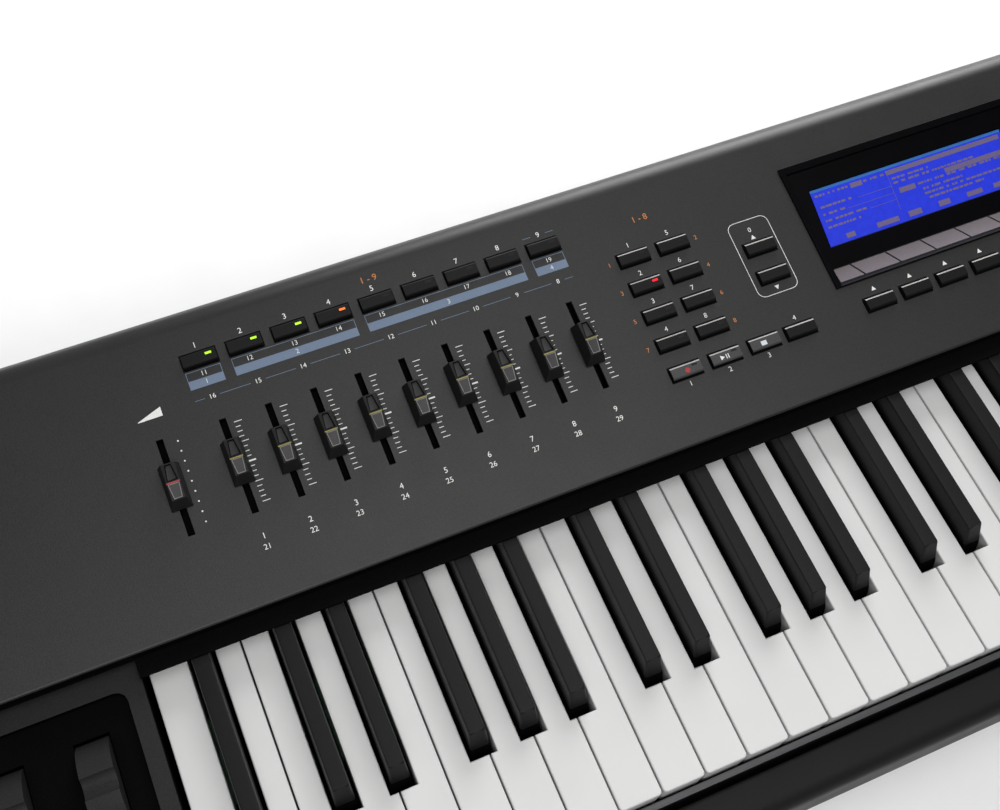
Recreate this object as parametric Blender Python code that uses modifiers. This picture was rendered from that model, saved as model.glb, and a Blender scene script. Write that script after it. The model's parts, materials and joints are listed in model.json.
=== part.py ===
# Music workstation: 88 keys under a slanted control panel with faders, buttons and a display.
# Metres, +Z up. The origin is on the ground, under the middle of the case.
# +X is the treble end and +Y the rear, so the player sits at -Y.

import math

import bmesh
import bpy
from mathutils import Matrix, Vector

# Gaps between pieces that touch or run in each other
seat_gap = 0.0003
running_gap = 0.0006

# Keys. Distances along Y are from the front edge of the naturals
key_pitch = 0.0235
natural_count = 52
key_gap = 0.0009
key_top = 0.080
natural_thick = 0.018
natural_length = 0.153
natural_head = 0.0495
natural_corner = 0.0018
sharp_width = 0.0126
sharp_side_gap = 0.0008
sharp_lean = 0.0015
sharp_rise = 0.012
sharp_slope = 0.0062
sharp_front_gap = 0.0011
sharp_edge = 0.0011
sharp_shift = {"A": 0.0032, "C": -0.0020, "D": 0.0024, "F": -0.0032, "G": 0.0}
outer_comb = "CEGB"
inner_comb = "DFA"
comb_count = 7

# Arms behind the keys, in three levels so that they pass over each other's spine
arm_width = 0.008
arm_thick = 0.004
arm_lift = 0.0005
spine_thick = 0.005
arm_overlap = 0.004
spine_depth = 0.004
level_pitch = 0.006
first_spine = 0.196
spine_pitch = 0.0065

# Case
left_block = 0.140
right_block = 0.038
case_depth = 0.350
keys_inset = 0.030
cheek_width = 0.018
cheek_rise = 0.008
cheek_round = 0.009
foot_height = 0.010
foot_radius = 0.016
foot_edge = 0.001
foot_inset_x = 0.090
foot_inset_y = 0.045
pan_wall = 0.0015
pan_flange = 0.014

# Slip in front of the keys
slip_gap = 0.0038
slip_drop = 0.008
slip_wall = 0.0025
slip_front_round = 0.008
slip_rear_round = 0.002
slip_rear_drop = 0.022

# Keybed
bed_wall = 0.0025
guard_drop = 0.010
guard_front = -0.0046
guard_wall = 0.0031
contact_room = 0.012
shelf_front = 0.096
shelf_wall = 0.012
rail_wall = 0.004
rail_head = 0.010
contact_front = 0.080
contact_depth = 0.045
contact_wall = 0.0016
contact_rise = 0.0036
contact_rib = 0.008

# Slanted panel. Its own frame starts on its front edge: X from the first key, V up the slope, W out of it
panel_reach = 0.154
panel_lip = 0.0063
panel_tilt = math.radians(10.2)
panel_wall = 0.0015
panel_front_round = 0.0016
panel_rear_round = 0.014
ledge_depth = 0.010
ledge_clearance = 0.0011
rear_seam = 0.100

# Wheel plate left of the keys
plate_gap = 0.0027
plate_wall = 0.0025
plate_tuck = 0.008
well_right = 0.0115
well_width = 0.084
well_front = 0.060
well_length = 0.0837
well_round = 0.006
well_depth = 0.004
well_wall = 0.0025
wheel_radius = 0.027
wheel_width = 0.016
wheel_spacing = 0.041
wheel_rise = 0.011
wheel_side_gap = 0.0015
wheel_slot_gap = 0.00073
notch_radius = 0.006
notch_lift = 0.002
axle_radius = 0.003
ear_wall = 0.003
ear_depth = 0.016

# Controls on the panel. The data wheel's column places the rest, each group at its gap from the next
wheel_column = 0.7020
number_gap = 0.0269
cursor_gap = 0.0140
display_gap = 0.0160
channel_gap = 0.0220
edit_gap = 0.0050
mode_gap = 0.0276
control_pitch = 0.02445
row_pitch = 0.0177
low_row = 0.0398
bank_gap = 0.03065
bank_count = 9
soft_pitch = 0.0240
soft_count = 6
button_width = 0.0182
button_depth = 0.0081
button_rise = 0.0026
button_slope = 0.0007
button_clearance = 0.0007
button_travel = 0.001
button_web = 0.0012
web_margin = 0.0015
web_relief = 0.0002
number_columns = 3
number_rows = 4
data_radius = 0.024
data_rise = 0.010
data_gap = 0.0005
data_edge = 0.0015
data_dish = 0.001
data_shaft = 0.003
dimple_radius = 0.009

# Faders
master_gap = 0.0329
fader_shift = 0.0006
fader_count = 9
fader_row = 0.0720
fader_slot = 0.0526
fader_slot_width = 0.0036
fader_width = 0.0112
fader_side_lean = 0.002
fader_length = 0.0240
fader_rear_lean = 0.00125
fader_front_lean = 0.0032
fader_rise = 0.011
fader_dip = 0.0014
fader_lift = 0.0008
lever_width = 0.0022
lever_length = 0.006
lever_depth = 0.0055
master_rest = -0.0003
fader_rests = (0.0013, -0.0006, -0.0014, -0.0002, -0.0008, 0.0020, 0.0002, -0.0005, -0.0003)

# Display
display_width = 0.1620
soft_gap = 0.01075
display_length = 0.0790
display_rim = 0.0035
display_rim_rise = 0.0013
display_front_rim = 0.0024
ramp_length = 0.0126
recess_depth = 0.0115
recess_rear = 0.0006
display_wall = 0.0022
display_edge = 0.0018
lcd_side = 0.0144
lcd_front = 0.0125
lcd_rear = 0.0126
module_margin = 0.006
module_thick = 0.009

# Board under the panel
board_drop = 0.0084
board_wall = 0.0016
board_left_margin = 0.0125
board_right_margin = 0.018
board_front_margin = 0.00775
board_rear_margin = 0.00595
board_notch_gap = 0.007
pot_width = 0.009
pot_margin = 0.0037
post_radius = 0.003

# Rear panel, the boards behind it and the mains inlet. The sockets' columns are from the first key
rear_wall = 0.002
rear_inset = 0.004
rear_lap = 0.010
jack_row = 0.040
jack_column = 0.240
jack_pitch = 0.010
jack_steps = (0, 3, 7, 10, 15, 20, 23)
jack_bore = 0.0032
jack_nose = 0.0047
jack_clearance = 0.0004
jack_stand = 0.0030
jack_depth = 0.016
jack_body = 0.015
jack_body_length = 0.020
din_column = 0.530
din_pitch = 0.026
din_count = 3
din_radius = 0.0074
din_rim = 0.0011
din_sink = 0.0025
usb_column = 0.622
usb_width = 0.012
usb_height = 0.011
usb_rim = 0.0014
usb_depth = 0.006
socket_stand = 0.0008
main_board_drop = 0.0084
main_board_wall = 0.0016
main_board_front_gap = 0.0132
main_board_margin = 0.030
supply_inset = 0.1217
supply_width = 0.110
supply_height = 0.048
supply_front_gap = 0.0111
supply_rear_gap = 0.004
inlet_width = 0.0270
inlet_height = 0.0200
inlet_wall = 0.0018
inlet_depth = 0.015
switch_offset = 0.034
switch_width = 0.012
switch_height = 0.018
switch_depth = 0.009
switch_tilt = math.radians(7)
switch_housing_wall = 0.002
switch_housing_depth = 0.014

# Places that follow
keys_width = key_pitch * natural_count
case_width = left_block + keys_width + right_block
case_left = -case_width / 2
case_right = case_width / 2
keys_left = case_left + left_block
keys_right = keys_left + keys_width
case_front = -case_depth / 2
case_rear = case_depth / 2
keys_front = case_front + keys_inset
inner_left = case_left + cheek_width + seat_gap
inner_right = case_right - cheek_width - seat_gap
key_bottom = key_top - natural_thick
notch_width = sharp_width + sharp_side_gap * 2
sharp_face_width = sharp_width - sharp_lean * 2
cheek_top = key_top + cheek_rise
guard_top = key_top - guard_drop
slip_top = key_top - slip_drop
slip_depth = keys_inset + guard_front - slip_gap
shelf_top = key_bottom - contact_room
pan_top = foot_height + pan_wall
case_bottom = foot_height + seat_gap
panel_y = keys_front + panel_reach
ledge_top = key_top + sharp_rise + ledge_clearance + panel_wall
panel_height = ledge_top + panel_lip
panel_rear_height = panel_height + (case_rear - panel_y) * math.tan(panel_tilt)
cursor_column = wheel_column - data_radius - cursor_gap - button_width / 2 - control_pitch * 2
display_left = cursor_column - button_width / 2 - display_gap - display_width
channel_column = display_left - channel_gap - button_width / 2
mode_column = channel_column - button_width - edit_gap - control_pitch * 2
bank_column = mode_column - button_width - mode_gap - control_pitch * (bank_count - 1)
fader_column = bank_column + fader_shift
master_column = fader_column - master_gap
number_column = wheel_column + data_radius + number_gap + button_width / 2
display_centre = display_left + display_width / 2
display_front = low_row + button_depth / 2 + soft_gap
display_rear = display_front + display_length
bank_row = fader_row + fader_slot / 2 + bank_gap + button_depth / 2
mode_rows = [low_row + row_pitch * row for row in (1, 2, 3, 4)]
fader_face_width = fader_width - fader_side_lean * 2
fader_face_rear = fader_length / 2 - fader_rear_lean
fader_face_front = fader_length / 2 - fader_front_lean
jack_z = jack_row
rear_face = case_rear - rear_inset
rear_back = rear_face - rear_wall
inlet_x = inner_right - supply_inset
switch_x = inlet_x + switch_offset

for old in list(bpy.data.objects):
    bpy.data.objects.remove(old, do_unlink=True)

parts = bpy.data.collections.new("music_workstation")
cutters = bpy.data.collections.new("cutters")
for collection in (parts, cutters):
    bpy.context.scene.collection.children.link(collection)


# Basic shapes

def link(name, mesh, parent=None, tool=False):
    made = bpy.data.objects.new(name, mesh)
    (cutters if tool else parts).objects.link(made)
    made.parent = parent
    if tool:
        made.hide_render = True
        made.display_type = "WIRE"
    return made


def from_bmesh(name, form, parent=None, tool=False):
    mesh = bpy.data.meshes.new(name)
    bmesh.ops.recalc_face_normals(form, faces=form.faces)
    form.to_mesh(mesh)
    form.free()
    return link(name, mesh, parent, tool)


def add_box(form, low, high):
    size = [top - bottom for bottom, top in zip(low, high)]
    middle = [(top + bottom) / 2 for bottom, top in zip(low, high)]
    place = Matrix.Translation(middle) @ Matrix.Diagonal((*size, 1))
    return bmesh.ops.create_cube(form, size=1, matrix=place)["verts"]


def boxes(name, spans, parent=None, tool=False):
    form = bmesh.new()
    for low, high in spans:
        add_box(form, low, high)
    return from_bmesh(name, form, parent, tool)


def cylinders(name, places, radius, length, turn, parent=None, tool=False, sides=16):
    form = bmesh.new()
    for place in places:
        bmesh.ops.create_cone(form, cap_ends=True, segments=sides, radius1=radius, radius2=radius,
                              depth=length, matrix=Matrix.Translation(place) @ turn)
    return from_bmesh(name, form, parent, tool)


def rounded(points, radii, steps=3, closed=True):
    """The outline with an arc of the given radius in place of each corner"""
    result = []
    count = len(points)
    for index, (point, radius) in enumerate(zip(points, radii)):
        if radius <= 0 or (not closed and index in (0, count - 1)):
            result.append(point)
            continue
        corner = Vector(point)
        before = (Vector(points[index - 1]) - corner).normalized()
        after = (Vector(points[(index + 1) % count]) - corner).normalized()
        half = before.angle(after) / 2
        centre = corner + (before + after).normalized() * radius / math.sin(half)
        start = corner + before * radius / math.tan(half) - centre
        end = corner + after * radius / math.tan(half) - centre
        sweep = start.angle_signed(end)
        for step in range(steps + 1):
            angle = -sweep * step / steps
            turned = Matrix.Rotation(angle, 2) @ start
            result.append(tuple(centre + turned))
    return result


def flat(name, outlines, low, high, parent=None, tool=False, along_x=False):
    """A solid that stands on closed outlines: from low to high along Z, or along X"""
    curve = bpy.data.curves.new(name + "_outline", "CURVE")
    curve.dimensions = "2D"
    curve.fill_mode = "BOTH"
    curve.extrude = (high - low) / 2
    for outline in outlines:
        spline = curve.splines.new("POLY")
        spline.points.add(len(outline) - 1)
        for point, (first, second) in zip(spline.points, outline):
            point.co = (first, second, 0, 1)
        spline.use_cyclic_u = True
    guide = bpy.data.objects.new(name + "_outline", curve)
    cutters.objects.link(guide)
    bpy.context.view_layer.update()
    mesh = bpy.data.meshes.new_from_object(guide.evaluated_get(bpy.context.evaluated_depsgraph_get()))
    bpy.data.objects.remove(guide)
    mesh.name = name
    mesh.transform(Matrix.Translation((0, 0, (low + high) / 2)))
    if along_x:
        mesh.transform(Matrix(((0, 0, 1, 0), (1, 0, 0, 0), (0, 1, 0, 0), (0, 0, 0, 1))))
    form = bmesh.new()
    form.from_mesh(mesh)
    bpy.data.meshes.remove(mesh)
    bmesh.ops.remove_doubles(form, verts=form.verts, dist=1e-6)
    return from_bmesh(name, form, parent, tool)


def sheet(name, profile, x_from, x_to, wall, parent=None):
    """A bent sheet whose outer face is the profile in Y and Z, on the left of its direction"""
    form = bmesh.new()
    ends = [form.verts.new((x_from, *point)) for point in profile]
    edges = [form.edges.new(pair) for pair in zip(ends, ends[1:])]
    swept = bmesh.ops.extrude_edge_only(form, edges=edges)["geom"]
    moved = [item for item in swept if isinstance(item, bmesh.types.BMVert)]
    bmesh.ops.translate(form, verts=moved, vec=(x_to - x_from, 0, 0))
    form.normal_update()
    first = Vector(profile[1]) - Vector(profile[0])
    outward = Vector((0, -first.y, first.x))
    if edges[0].link_faces[0].normal.dot(outward) < 0:
        bmesh.ops.reverse_faces(form, faces=form.faces)
    mesh = bpy.data.meshes.new(name)
    form.to_mesh(mesh)
    form.free()
    made = link(name, mesh, parent)
    thicken(made, wall)
    return made


def thicken(made, wall):
    solidify = made.modifiers.new("wall", "SOLIDIFY")
    solidify.thickness = wall
    solidify.offset = -1
    solidify.use_even_offset = True


def turned(name, profile, parent=None, steps=32):
    """A body of revolution about Z, from a profile that runs down its outer side"""
    form = bmesh.new()
    ends = [form.verts.new((radius, 0, height)) for radius, height in profile]
    for pair in zip(ends, ends[1:]):
        form.edges.new(pair)
    mesh = bpy.data.meshes.new(name)
    form.to_mesh(mesh)
    form.free()
    made = link(name, mesh, parent)
    screw = made.modifiers.new("turn", "SCREW")
    screw.steps = steps
    screw.render_steps = steps
    screw.use_merge_vertices = True
    screw.merge_threshold = 0.0001
    return made


def combine(target, tool, operation):
    join = target.modifiers.new(tool.name, "BOOLEAN")
    join.object = tool
    join.operation = operation
    join.solver = "EXACT"
    return target


def move_origin(made, origin):
    made.data.transform(Matrix.Translation(-Vector(origin)))
    made.location = origin


def paint(names, colour, roughness, metallic=0.0):
    for name in names:
        material = bpy.data.materials.new(name)
        material.use_nodes = True
        shader = material.node_tree.nodes["Principled BSDF"]
        shader.inputs["Base Color"].default_value = (*colour, 1)
        shader.inputs["Roughness"].default_value = roughness
        shader.inputs["Metallic"].default_value = metallic
        bpy.data.objects[name].data.materials.append(material)


turn_to_x = Matrix.Rotation(math.radians(90), 4, "Y")
turn_to_y = Matrix.Rotation(math.radians(90), 4, "X")
upright = Matrix.Identity(4)

panel = bpy.data.objects.new("panel_origin", None)
parts.objects.link(panel)
panel.location = (keys_left, panel_y, panel_height)
panel.rotation_euler.x = panel_tilt


# Keys

def note_of(natural):
    return "ABCDEFG"[natural % 7]


def comb_of(natural):
    return min(max((natural - 2) // 7 + 1, 1), comb_count)


def sharp_after(natural):
    """X of the sharp between this natural and the next, or None"""
    if natural < 0 or natural >= natural_count - 1 or note_of(natural) not in sharp_shift:
        return None
    return keys_left + (natural + 1) * key_pitch + sharp_shift[note_of(natural)]


def natural_sides(natural):
    """Left and right of the front part, then of the part between the sharps"""
    left = keys_left + natural * key_pitch + key_gap / 2
    right = left + key_pitch - key_gap
    before, after = sharp_after(natural - 1), sharp_after(natural)
    rear_left = left if before is None else before + notch_width / 2
    rear_right = right if after is None else after - notch_width / 2
    return left, right, rear_left, rear_right


def natural_outline(natural):
    left, right, rear_left, rear_right = natural_sides(natural)
    head, rear = keys_front + natural_head, keys_front + natural_length
    points = rounded([(left, head), (left, keys_front), (right, keys_front), (right, head)],
                     [0, natural_corner, natural_corner, 0], 2)
    if rear_right < right:
        points.append((rear_right, head))
    points += [(rear_right, rear), (rear_left, rear)]
    if rear_left > left:
        points.append((rear_left, head))
    if rear_right >= right:
        points.remove((right, head))
    if rear_left <= left:
        points.remove((left, head))
    return points


def comb_back(name, middles, level):
    """The comb behind its keys: a spine on the hinge line and one arm towards each key"""
    spine_front = keys_front + first_spine + spine_pitch * level
    spine_middle = spine_front + spine_depth / 2
    low = key_bottom + arm_lift + level_pitch * level
    end = arm_width / 2 + seat_gap * 3
    made = boxes(name, [((middles[0] - end, spine_front, low),
                         (middles[-1] + end, spine_front + spine_depth, low + spine_thick))])
    arm_front = keys_front + natural_length - arm_overlap
    spans = [((middle - arm_width / 2, arm_front, low + arm_lift),
              (middle + arm_width / 2, spine_middle, low + arm_lift + arm_thick)) for middle in middles]
    combine(made, boxes(name + "_arms", spans, tool=True), "UNION")
    return made, (middles[0], spine_middle, low + spine_thick / 2)


def make_naturals(name, naturals, level):
    middles = [sum(natural_sides(natural)[2:]) / 2 for natural in naturals]
    made, hinge = comb_back(name, middles, level)
    tops = flat(name + "_tops", [natural_outline(natural) for natural in naturals],
                key_bottom, key_top, tool=True)
    combine(made, tops, "UNION")
    move_origin(made, hinge)


def make_sharps(name, naturals):
    middles = [sharp_after(natural) for natural in naturals]
    made, hinge = comb_back(name, middles, 2)
    front = keys_front + natural_head + sharp_front_gap
    rear = keys_front + natural_length
    form = bmesh.new()
    for middle in middles:
        corners = add_box(form, (middle - sharp_width / 2, front, key_bottom),
                          (middle + sharp_width / 2, rear, key_top + sharp_rise))
        for corner in corners:
            if corner.co.z > key_top:
                corner.co.x = middle + math.copysign(sharp_face_width / 2, corner.co.x - middle)
                corner.co.y += sharp_slope if corner.co.y < front + sharp_slope else 0
    form.normal_update()
    edges = [edge for edge in form.edges
             if min(end.co.z for end in edge.verts) > key_top
             and min(end.co.y for end in edge.verts) < rear - sharp_edge]
    bmesh.ops.bevel(form, geom=edges, offset=sharp_edge, segments=2, affect="EDGES", profile=0.5)
    tops = from_bmesh(name + "_tops", form, tool=True)
    combine(made, tops, "UNION")
    move_origin(made, hinge)


outer_names = []
inner_names = []
sharp_names = []
for comb in range(1, comb_count + 1):
    members = [natural for natural in range(natural_count) if comb_of(natural) == comb]
    outer_names.append(f"keys_c_e_g_b_{comb}")
    inner_names.append(f"keys_d_f_a_{comb}")
    sharp_names.append(f"keys_sharp_{comb}")
    make_naturals(outer_names[-1], [n for n in members if note_of(n) in outer_comb], 0)
    make_naturals(inner_names[-1], [n for n in members if note_of(n) in inner_comb], 1)
    make_sharps(sharp_names[-1], [n for n in members if sharp_after(n) is not None])


# Keybed: a base with a guard in front, a shelf for the contacts and a stepped hinge rail

bed_bottom = pan_top + seat_gap
bed_floor = bed_bottom + bed_wall
steps_top = [key_bottom + arm_lift + level_pitch * level - seat_gap for level in range(3)]
steps_front = [keys_front + first_spine + spine_pitch * level - seat_gap * 2 for level in range(3)]
bed_rear = steps_front[2] + spine_pitch
guard_y = keys_front + guard_front
shelf_y = keys_front + shelf_front
leg_y = bed_rear - rail_wall
bed = [(guard_y, bed_bottom), (bed_rear, bed_bottom), (bed_rear, steps_top[2]),
       (steps_front[2], steps_top[2]), (steps_front[2], steps_top[1]),
       (steps_front[1], steps_top[1]), (steps_front[1], steps_top[0]),
       (steps_front[0], steps_top[0]), (steps_front[0], steps_top[0] - rail_head),
       (leg_y, steps_top[0] - rail_head), (leg_y, bed_floor),
       (shelf_y + shelf_wall, bed_floor), (shelf_y + shelf_wall, shelf_top),
       (shelf_y, shelf_top), (shelf_y, bed_floor),
       (guard_y + guard_wall, bed_floor), (guard_y + guard_wall, guard_top), (guard_y, guard_top)]
flat("keybed_frame", [bed], keys_left, keys_right, along_x=True)

contact_y = keys_front + contact_front
contact_low = shelf_top + seat_gap
contact_middle = contact_y + contact_depth / 2
contact = [(contact_y, contact_low), (contact_y + contact_depth, contact_low),
           (contact_y + contact_depth, contact_low + contact_wall),
           (contact_middle + contact_rib / 2, contact_low + contact_wall),
           (contact_middle + contact_rib / 2, contact_low + contact_wall + contact_rise),
           (contact_middle - contact_rib / 2, contact_low + contact_wall + contact_rise),
           (contact_middle - contact_rib / 2, contact_low + contact_wall),
           (contact_y, contact_low + contact_wall)]
flat("contact_board", [contact], keys_left + key_gap, keys_right - key_gap, along_x=True)


# Case: pan, slip, cheeks, rear panel and the slanted top

pan_front = case_front + slip_wall + seat_gap
pan_rear = rear_back - seat_gap
pan = [(pan_rear, foot_height + pan_flange), (pan_rear, foot_height),
       (pan_front, foot_height), (pan_front, foot_height + pan_flange)]
sheet("bottom_pan", pan, inner_left, inner_right, pan_wall)

slip_rear = case_front + slip_depth
slip = rounded([(case_front, case_bottom), (case_front, slip_top), (slip_rear, slip_top),
                (slip_rear, slip_top - slip_rear_drop)],
               [0, slip_front_round, slip_rear_round, 0], 3, closed=False)
sheet("key_slip", slip, inner_left, inner_right, slip_wall)

foot_top = foot_height - seat_gap
foot = [(0, foot_top), (foot_radius * 0.85, foot_top), (foot_radius, foot_height * 0.35),
        (foot_radius - foot_edge, 0), (0, 0)]
foot_x = case_right - foot_inset_x
foot_y = case_rear - foot_inset_y
foot_places = {"foot_front_left": (-foot_x, -foot_y), "foot_front_right": (foot_x, -foot_y),
               "foot_rear_left": (-foot_x, foot_y), "foot_rear_right": (foot_x, foot_y)}
for name, (x, y) in foot_places.items():
    turned(name, foot, steps=20).location = (x, y, 0)

cheek = rounded([(case_front, case_bottom), (case_rear, case_bottom), (case_rear, panel_rear_height),
                 (panel_y, panel_height), (panel_y - seat_gap * 10, cheek_top), (case_front, cheek_top)],
                [0, 0, panel_rear_round, panel_front_round, 0, cheek_round], 4)
flat("left_cheek", [cheek], case_left, case_left + cheek_width, along_x=True)
right_cheek = flat("right_cheek", [cheek], case_right - cheek_width, case_right, along_x=True)
block = flat("key_block", [[(slip_rear + seat_gap * 3, case_bottom + pan_wall + seat_gap),
                            (panel_y + plate_tuck, case_bottom + pan_wall + seat_gap),
                            (panel_y + plate_tuck, cheek_top),
                            (slip_rear + seat_gap * 3, cheek_top)]],
             keys_right + plate_gap, case_right - cheek_width + pan_wall, tool=True, along_x=True)
combine(right_cheek, block, "UNION")

rear_x = [keys_left + jack_column + jack_pitch * step for step in jack_steps]
din_x = [keys_left + din_column + din_pitch * index for index in range(din_count)]
usb_x = keys_left + usb_column
rear_panel = boxes("rear_panel", [((inner_left, rear_back, case_bottom),
                                   (inner_right, rear_face, rear_seam + rear_lap))])
housing_y = rear_back - switch_housing_depth
housing_half = switch_width / 2 + running_gap
housing_rise = switch_height / 2 + running_gap * 2
frame_half = housing_half + switch_housing_wall
frame_rise = housing_rise + switch_housing_wall


def rear_hole(x, width, height, depth):
    """A box that cuts through the rear panel, from this depth behind its face"""
    return ((x - width / 2, rear_face - depth, jack_z - height / 2),
            (x + width / 2, rear_face + rear_wall, jack_z + height / 2))


holes = [rear_hole(switch_x, (frame_half + seat_gap) * 2, (frame_rise + seat_gap) * 2, rear_wall * 2),
         rear_hole(inlet_x, inlet_width + seat_gap * 2, inlet_height + seat_gap * 2, rear_wall * 2),
         rear_hole(usb_x, usb_width + seat_gap * 2, usb_height + seat_gap * 2, rear_wall * 2)]
combine(rear_panel, boxes("rear_square_holes", holes, tool=True), "DIFFERENCE")
jack_holes = cylinders("jack_holes", [(x, rear_face, jack_z) for x in rear_x],
                       jack_nose + jack_clearance, rear_wall * 4, turn_to_y, tool=True)
combine(rear_panel, jack_holes, "DIFFERENCE")
din_holes = cylinders("din_holes", [(x, rear_face, jack_z) for x in din_x],
                      din_radius + jack_clearance, rear_wall * 4, turn_to_y, tool=True, sides=20)
combine(rear_panel, din_holes, "DIFFERENCE")

ledge_y = panel_y - ledge_depth
top_profile = rounded([(ledge_y, ledge_top), (panel_y, ledge_top),
                       (panel_y, panel_height), (case_rear, panel_rear_height),
                       (case_rear, rear_seam)],
                      [0, 0, panel_front_round, panel_rear_round, 0], 5, closed=False)
top_panel = sheet("top_panel", top_profile, inner_left, inner_right, panel_wall)
ledge_ends = [((inner_left - panel_wall, ledge_y - panel_wall, ledge_top - panel_wall * 2),
               (keys_left - plate_gap, panel_y - seat_gap, ledge_top + panel_wall)),
              ((keys_right + plate_gap, ledge_y - panel_wall, ledge_top - panel_wall * 2),
               (inner_right + panel_wall, panel_y - seat_gap, ledge_top + panel_wall))]
combine(top_panel, boxes("ledge_ends", ledge_ends, tool=True), "DIFFERENCE")


# Wheel plate: a shell with a sunk well, two slots and ears for the axles

plate_low = pan_top + seat_gap
plate_right = keys_left - plate_gap
plate_front = slip_rear + seat_gap * 3
well_x = (plate_right - well_right + plate_gap - well_width, plate_right - well_right + plate_gap)
well_y = (keys_front + well_front, keys_front + well_front + well_length)
well_floor = cheek_top - well_depth
wheel_y = (well_y[0] + well_y[1]) / 2
wheel_z = cheek_top + wheel_rise - wheel_radius
wheel_xs = [(well_x[0] + well_x[1] + side * wheel_spacing) / 2 for side in (-1, 1)]
slot_half = math.sqrt(wheel_radius ** 2 - (well_floor - well_wall - wheel_z) ** 2) + wheel_slot_gap

form = bmesh.new()
add_box(form, (inner_left, plate_front, plate_low), (plate_right, panel_y + plate_tuck, cheek_top))
open_faces = [face for face in form.faces if face.normal.z < -0.5 or face.normal.y > 0.5]
bmesh.ops.delete(form, geom=open_faces, context="FACES")
shell = bpy.data.meshes.new("wheel_plate")
form.to_mesh(shell)
form.free()
wheel_plate = link("wheel_plate", shell)
thicken(wheel_plate, plate_wall)

well_block = boxes("well_block", [((well_x[0] - well_wall, well_y[0] - well_wall, well_floor - well_wall),
                                   (well_x[1] + well_wall, well_y[1] + well_wall,
                                    cheek_top - plate_wall / 2))], tool=True)
combine(wheel_plate, well_block, "UNION")
ear_offset = wheel_width / 2 + wheel_side_gap
ear_spans = [((x + side * (ear_offset + ear_wall / 2) - ear_wall / 2, wheel_y - ear_depth / 2,
               wheel_z - ear_depth / 2),
              (x + side * (ear_offset + ear_wall / 2) + ear_wall / 2, wheel_y + ear_depth / 2,
               well_floor - well_wall / 2)) for x in wheel_xs for side in (-1, 1)]
combine(wheel_plate, boxes("ears", ear_spans, tool=True), "UNION")
well_outline = [(well_x[0], well_y[0]), (well_x[1], well_y[0]),
                (well_x[1], well_y[1]), (well_x[0], well_y[1])]
well = flat("well", [rounded(well_outline, [well_round] * 4)], well_floor, cheek_top + well_wall, tool=True)
combine(wheel_plate, well, "DIFFERENCE")
slot_spans = [((x - wheel_width / 2 - wheel_side_gap / 2, wheel_y - slot_half,
                well_floor - well_wall * 2),
               (x + wheel_width / 2 + wheel_side_gap / 2, wheel_y + slot_half,
                cheek_top + well_wall)) for x in wheel_xs]
combine(wheel_plate, boxes("wheel_slots", slot_spans, tool=True), "DIFFERENCE")
ear_bores = cylinders("ear_bores", [(x, wheel_y, wheel_z) for x in wheel_xs],
                      axle_radius + seat_gap, wheel_width + ear_depth, turn_to_x, tool=True)
combine(wheel_plate, ear_bores, "DIFFERENCE")


def make_wheel(name, x):
    """A thumb wheel with stub axles and a notch for the finger"""
    made = cylinders(name, [(0, 0, 0)], wheel_radius, wheel_width, turn_to_x, sides=40)
    stub_length = wheel_width + wheel_side_gap * 2 + ear_wall * 2 + seat_gap * 2
    combine(made, cylinders(name + "_axle", [(0, 0, 0)], axle_radius, stub_length, turn_to_x, tool=True),
            "UNION")
    notch = cylinders(name + "_notch", [(0, 0, wheel_radius + notch_lift)], notch_radius, wheel_width * 2,
                      turn_to_x, tool=True, sides=20)
    combine(made, notch, "DIFFERENCE")
    for tool in (name + "_axle", name + "_notch"):
        bpy.data.objects[tool].location = (x, wheel_y, wheel_z)
    made.location = (x, wheel_y, wheel_z)


make_wheel("pitch_wheel", wheel_xs[0])
make_wheel("mod_wheel", wheel_xs[1])


# Buttons: each group is one moulded strip, its caps joined by a web under the panel

def button_places(columns, rows):
    return [(x, v) for v in rows for x in columns]


def column_run(first, count, pitch=control_pitch):
    return [first + pitch * index for index in range(count)]


cursor_middle = cursor_column + control_pitch
button_groups = {
    "bank_buttons": button_places(column_run(bank_column, bank_count), [bank_row]),
    "mode_buttons": button_places(column_run(mode_column, 2), mode_rows),
    "transport_buttons": button_places(column_run(mode_column, 3) + [channel_column], [low_row]),
    "channel_buttons": button_places([channel_column], mode_rows[1:3]),
    "soft_buttons": button_places(
        column_run(display_centre - soft_pitch * (soft_count - 1) / 2, soft_count, soft_pitch), [low_row]),
    "cursor_buttons": [(cursor_middle, mode_rows[3]), (cursor_column, mode_rows[2]),
                       (cursor_middle + control_pitch, mode_rows[2]), (cursor_middle, mode_rows[1]),
                       (cursor_column, low_row), (cursor_middle, low_row),
                       (cursor_middle + control_pitch, low_row)],
    "number_buttons": button_places(column_run(number_column, number_columns), mode_rows[:number_rows]),
}
web_top = -panel_wall - seat_gap
web_low = web_top - button_web
carrier_top = web_low - button_travel - seat_gap


def strip_webs(places):
    """Bars under the rows of caps and one or more bars across them, so that the strip is one piece"""
    rows = sorted({v for _, v in places})
    middle = sum(x for x, _ in places) / len(places)
    reach = button_width / 2 + web_margin
    half = button_depth / 2 + web_margin
    bars = []
    for row in rows:
        columns = [x for x, v in places if v == row]
        bars.append((min(columns + [middle]) - reach, row - half,
                     max(columns + [middle]) + reach, row + half))
    for lower, upper in zip(bars, bars[1:]):
        bars.append((middle - reach / 2, lower[3] - web_margin, middle + reach / 2, upper[1] + web_margin))
    return bars


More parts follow.
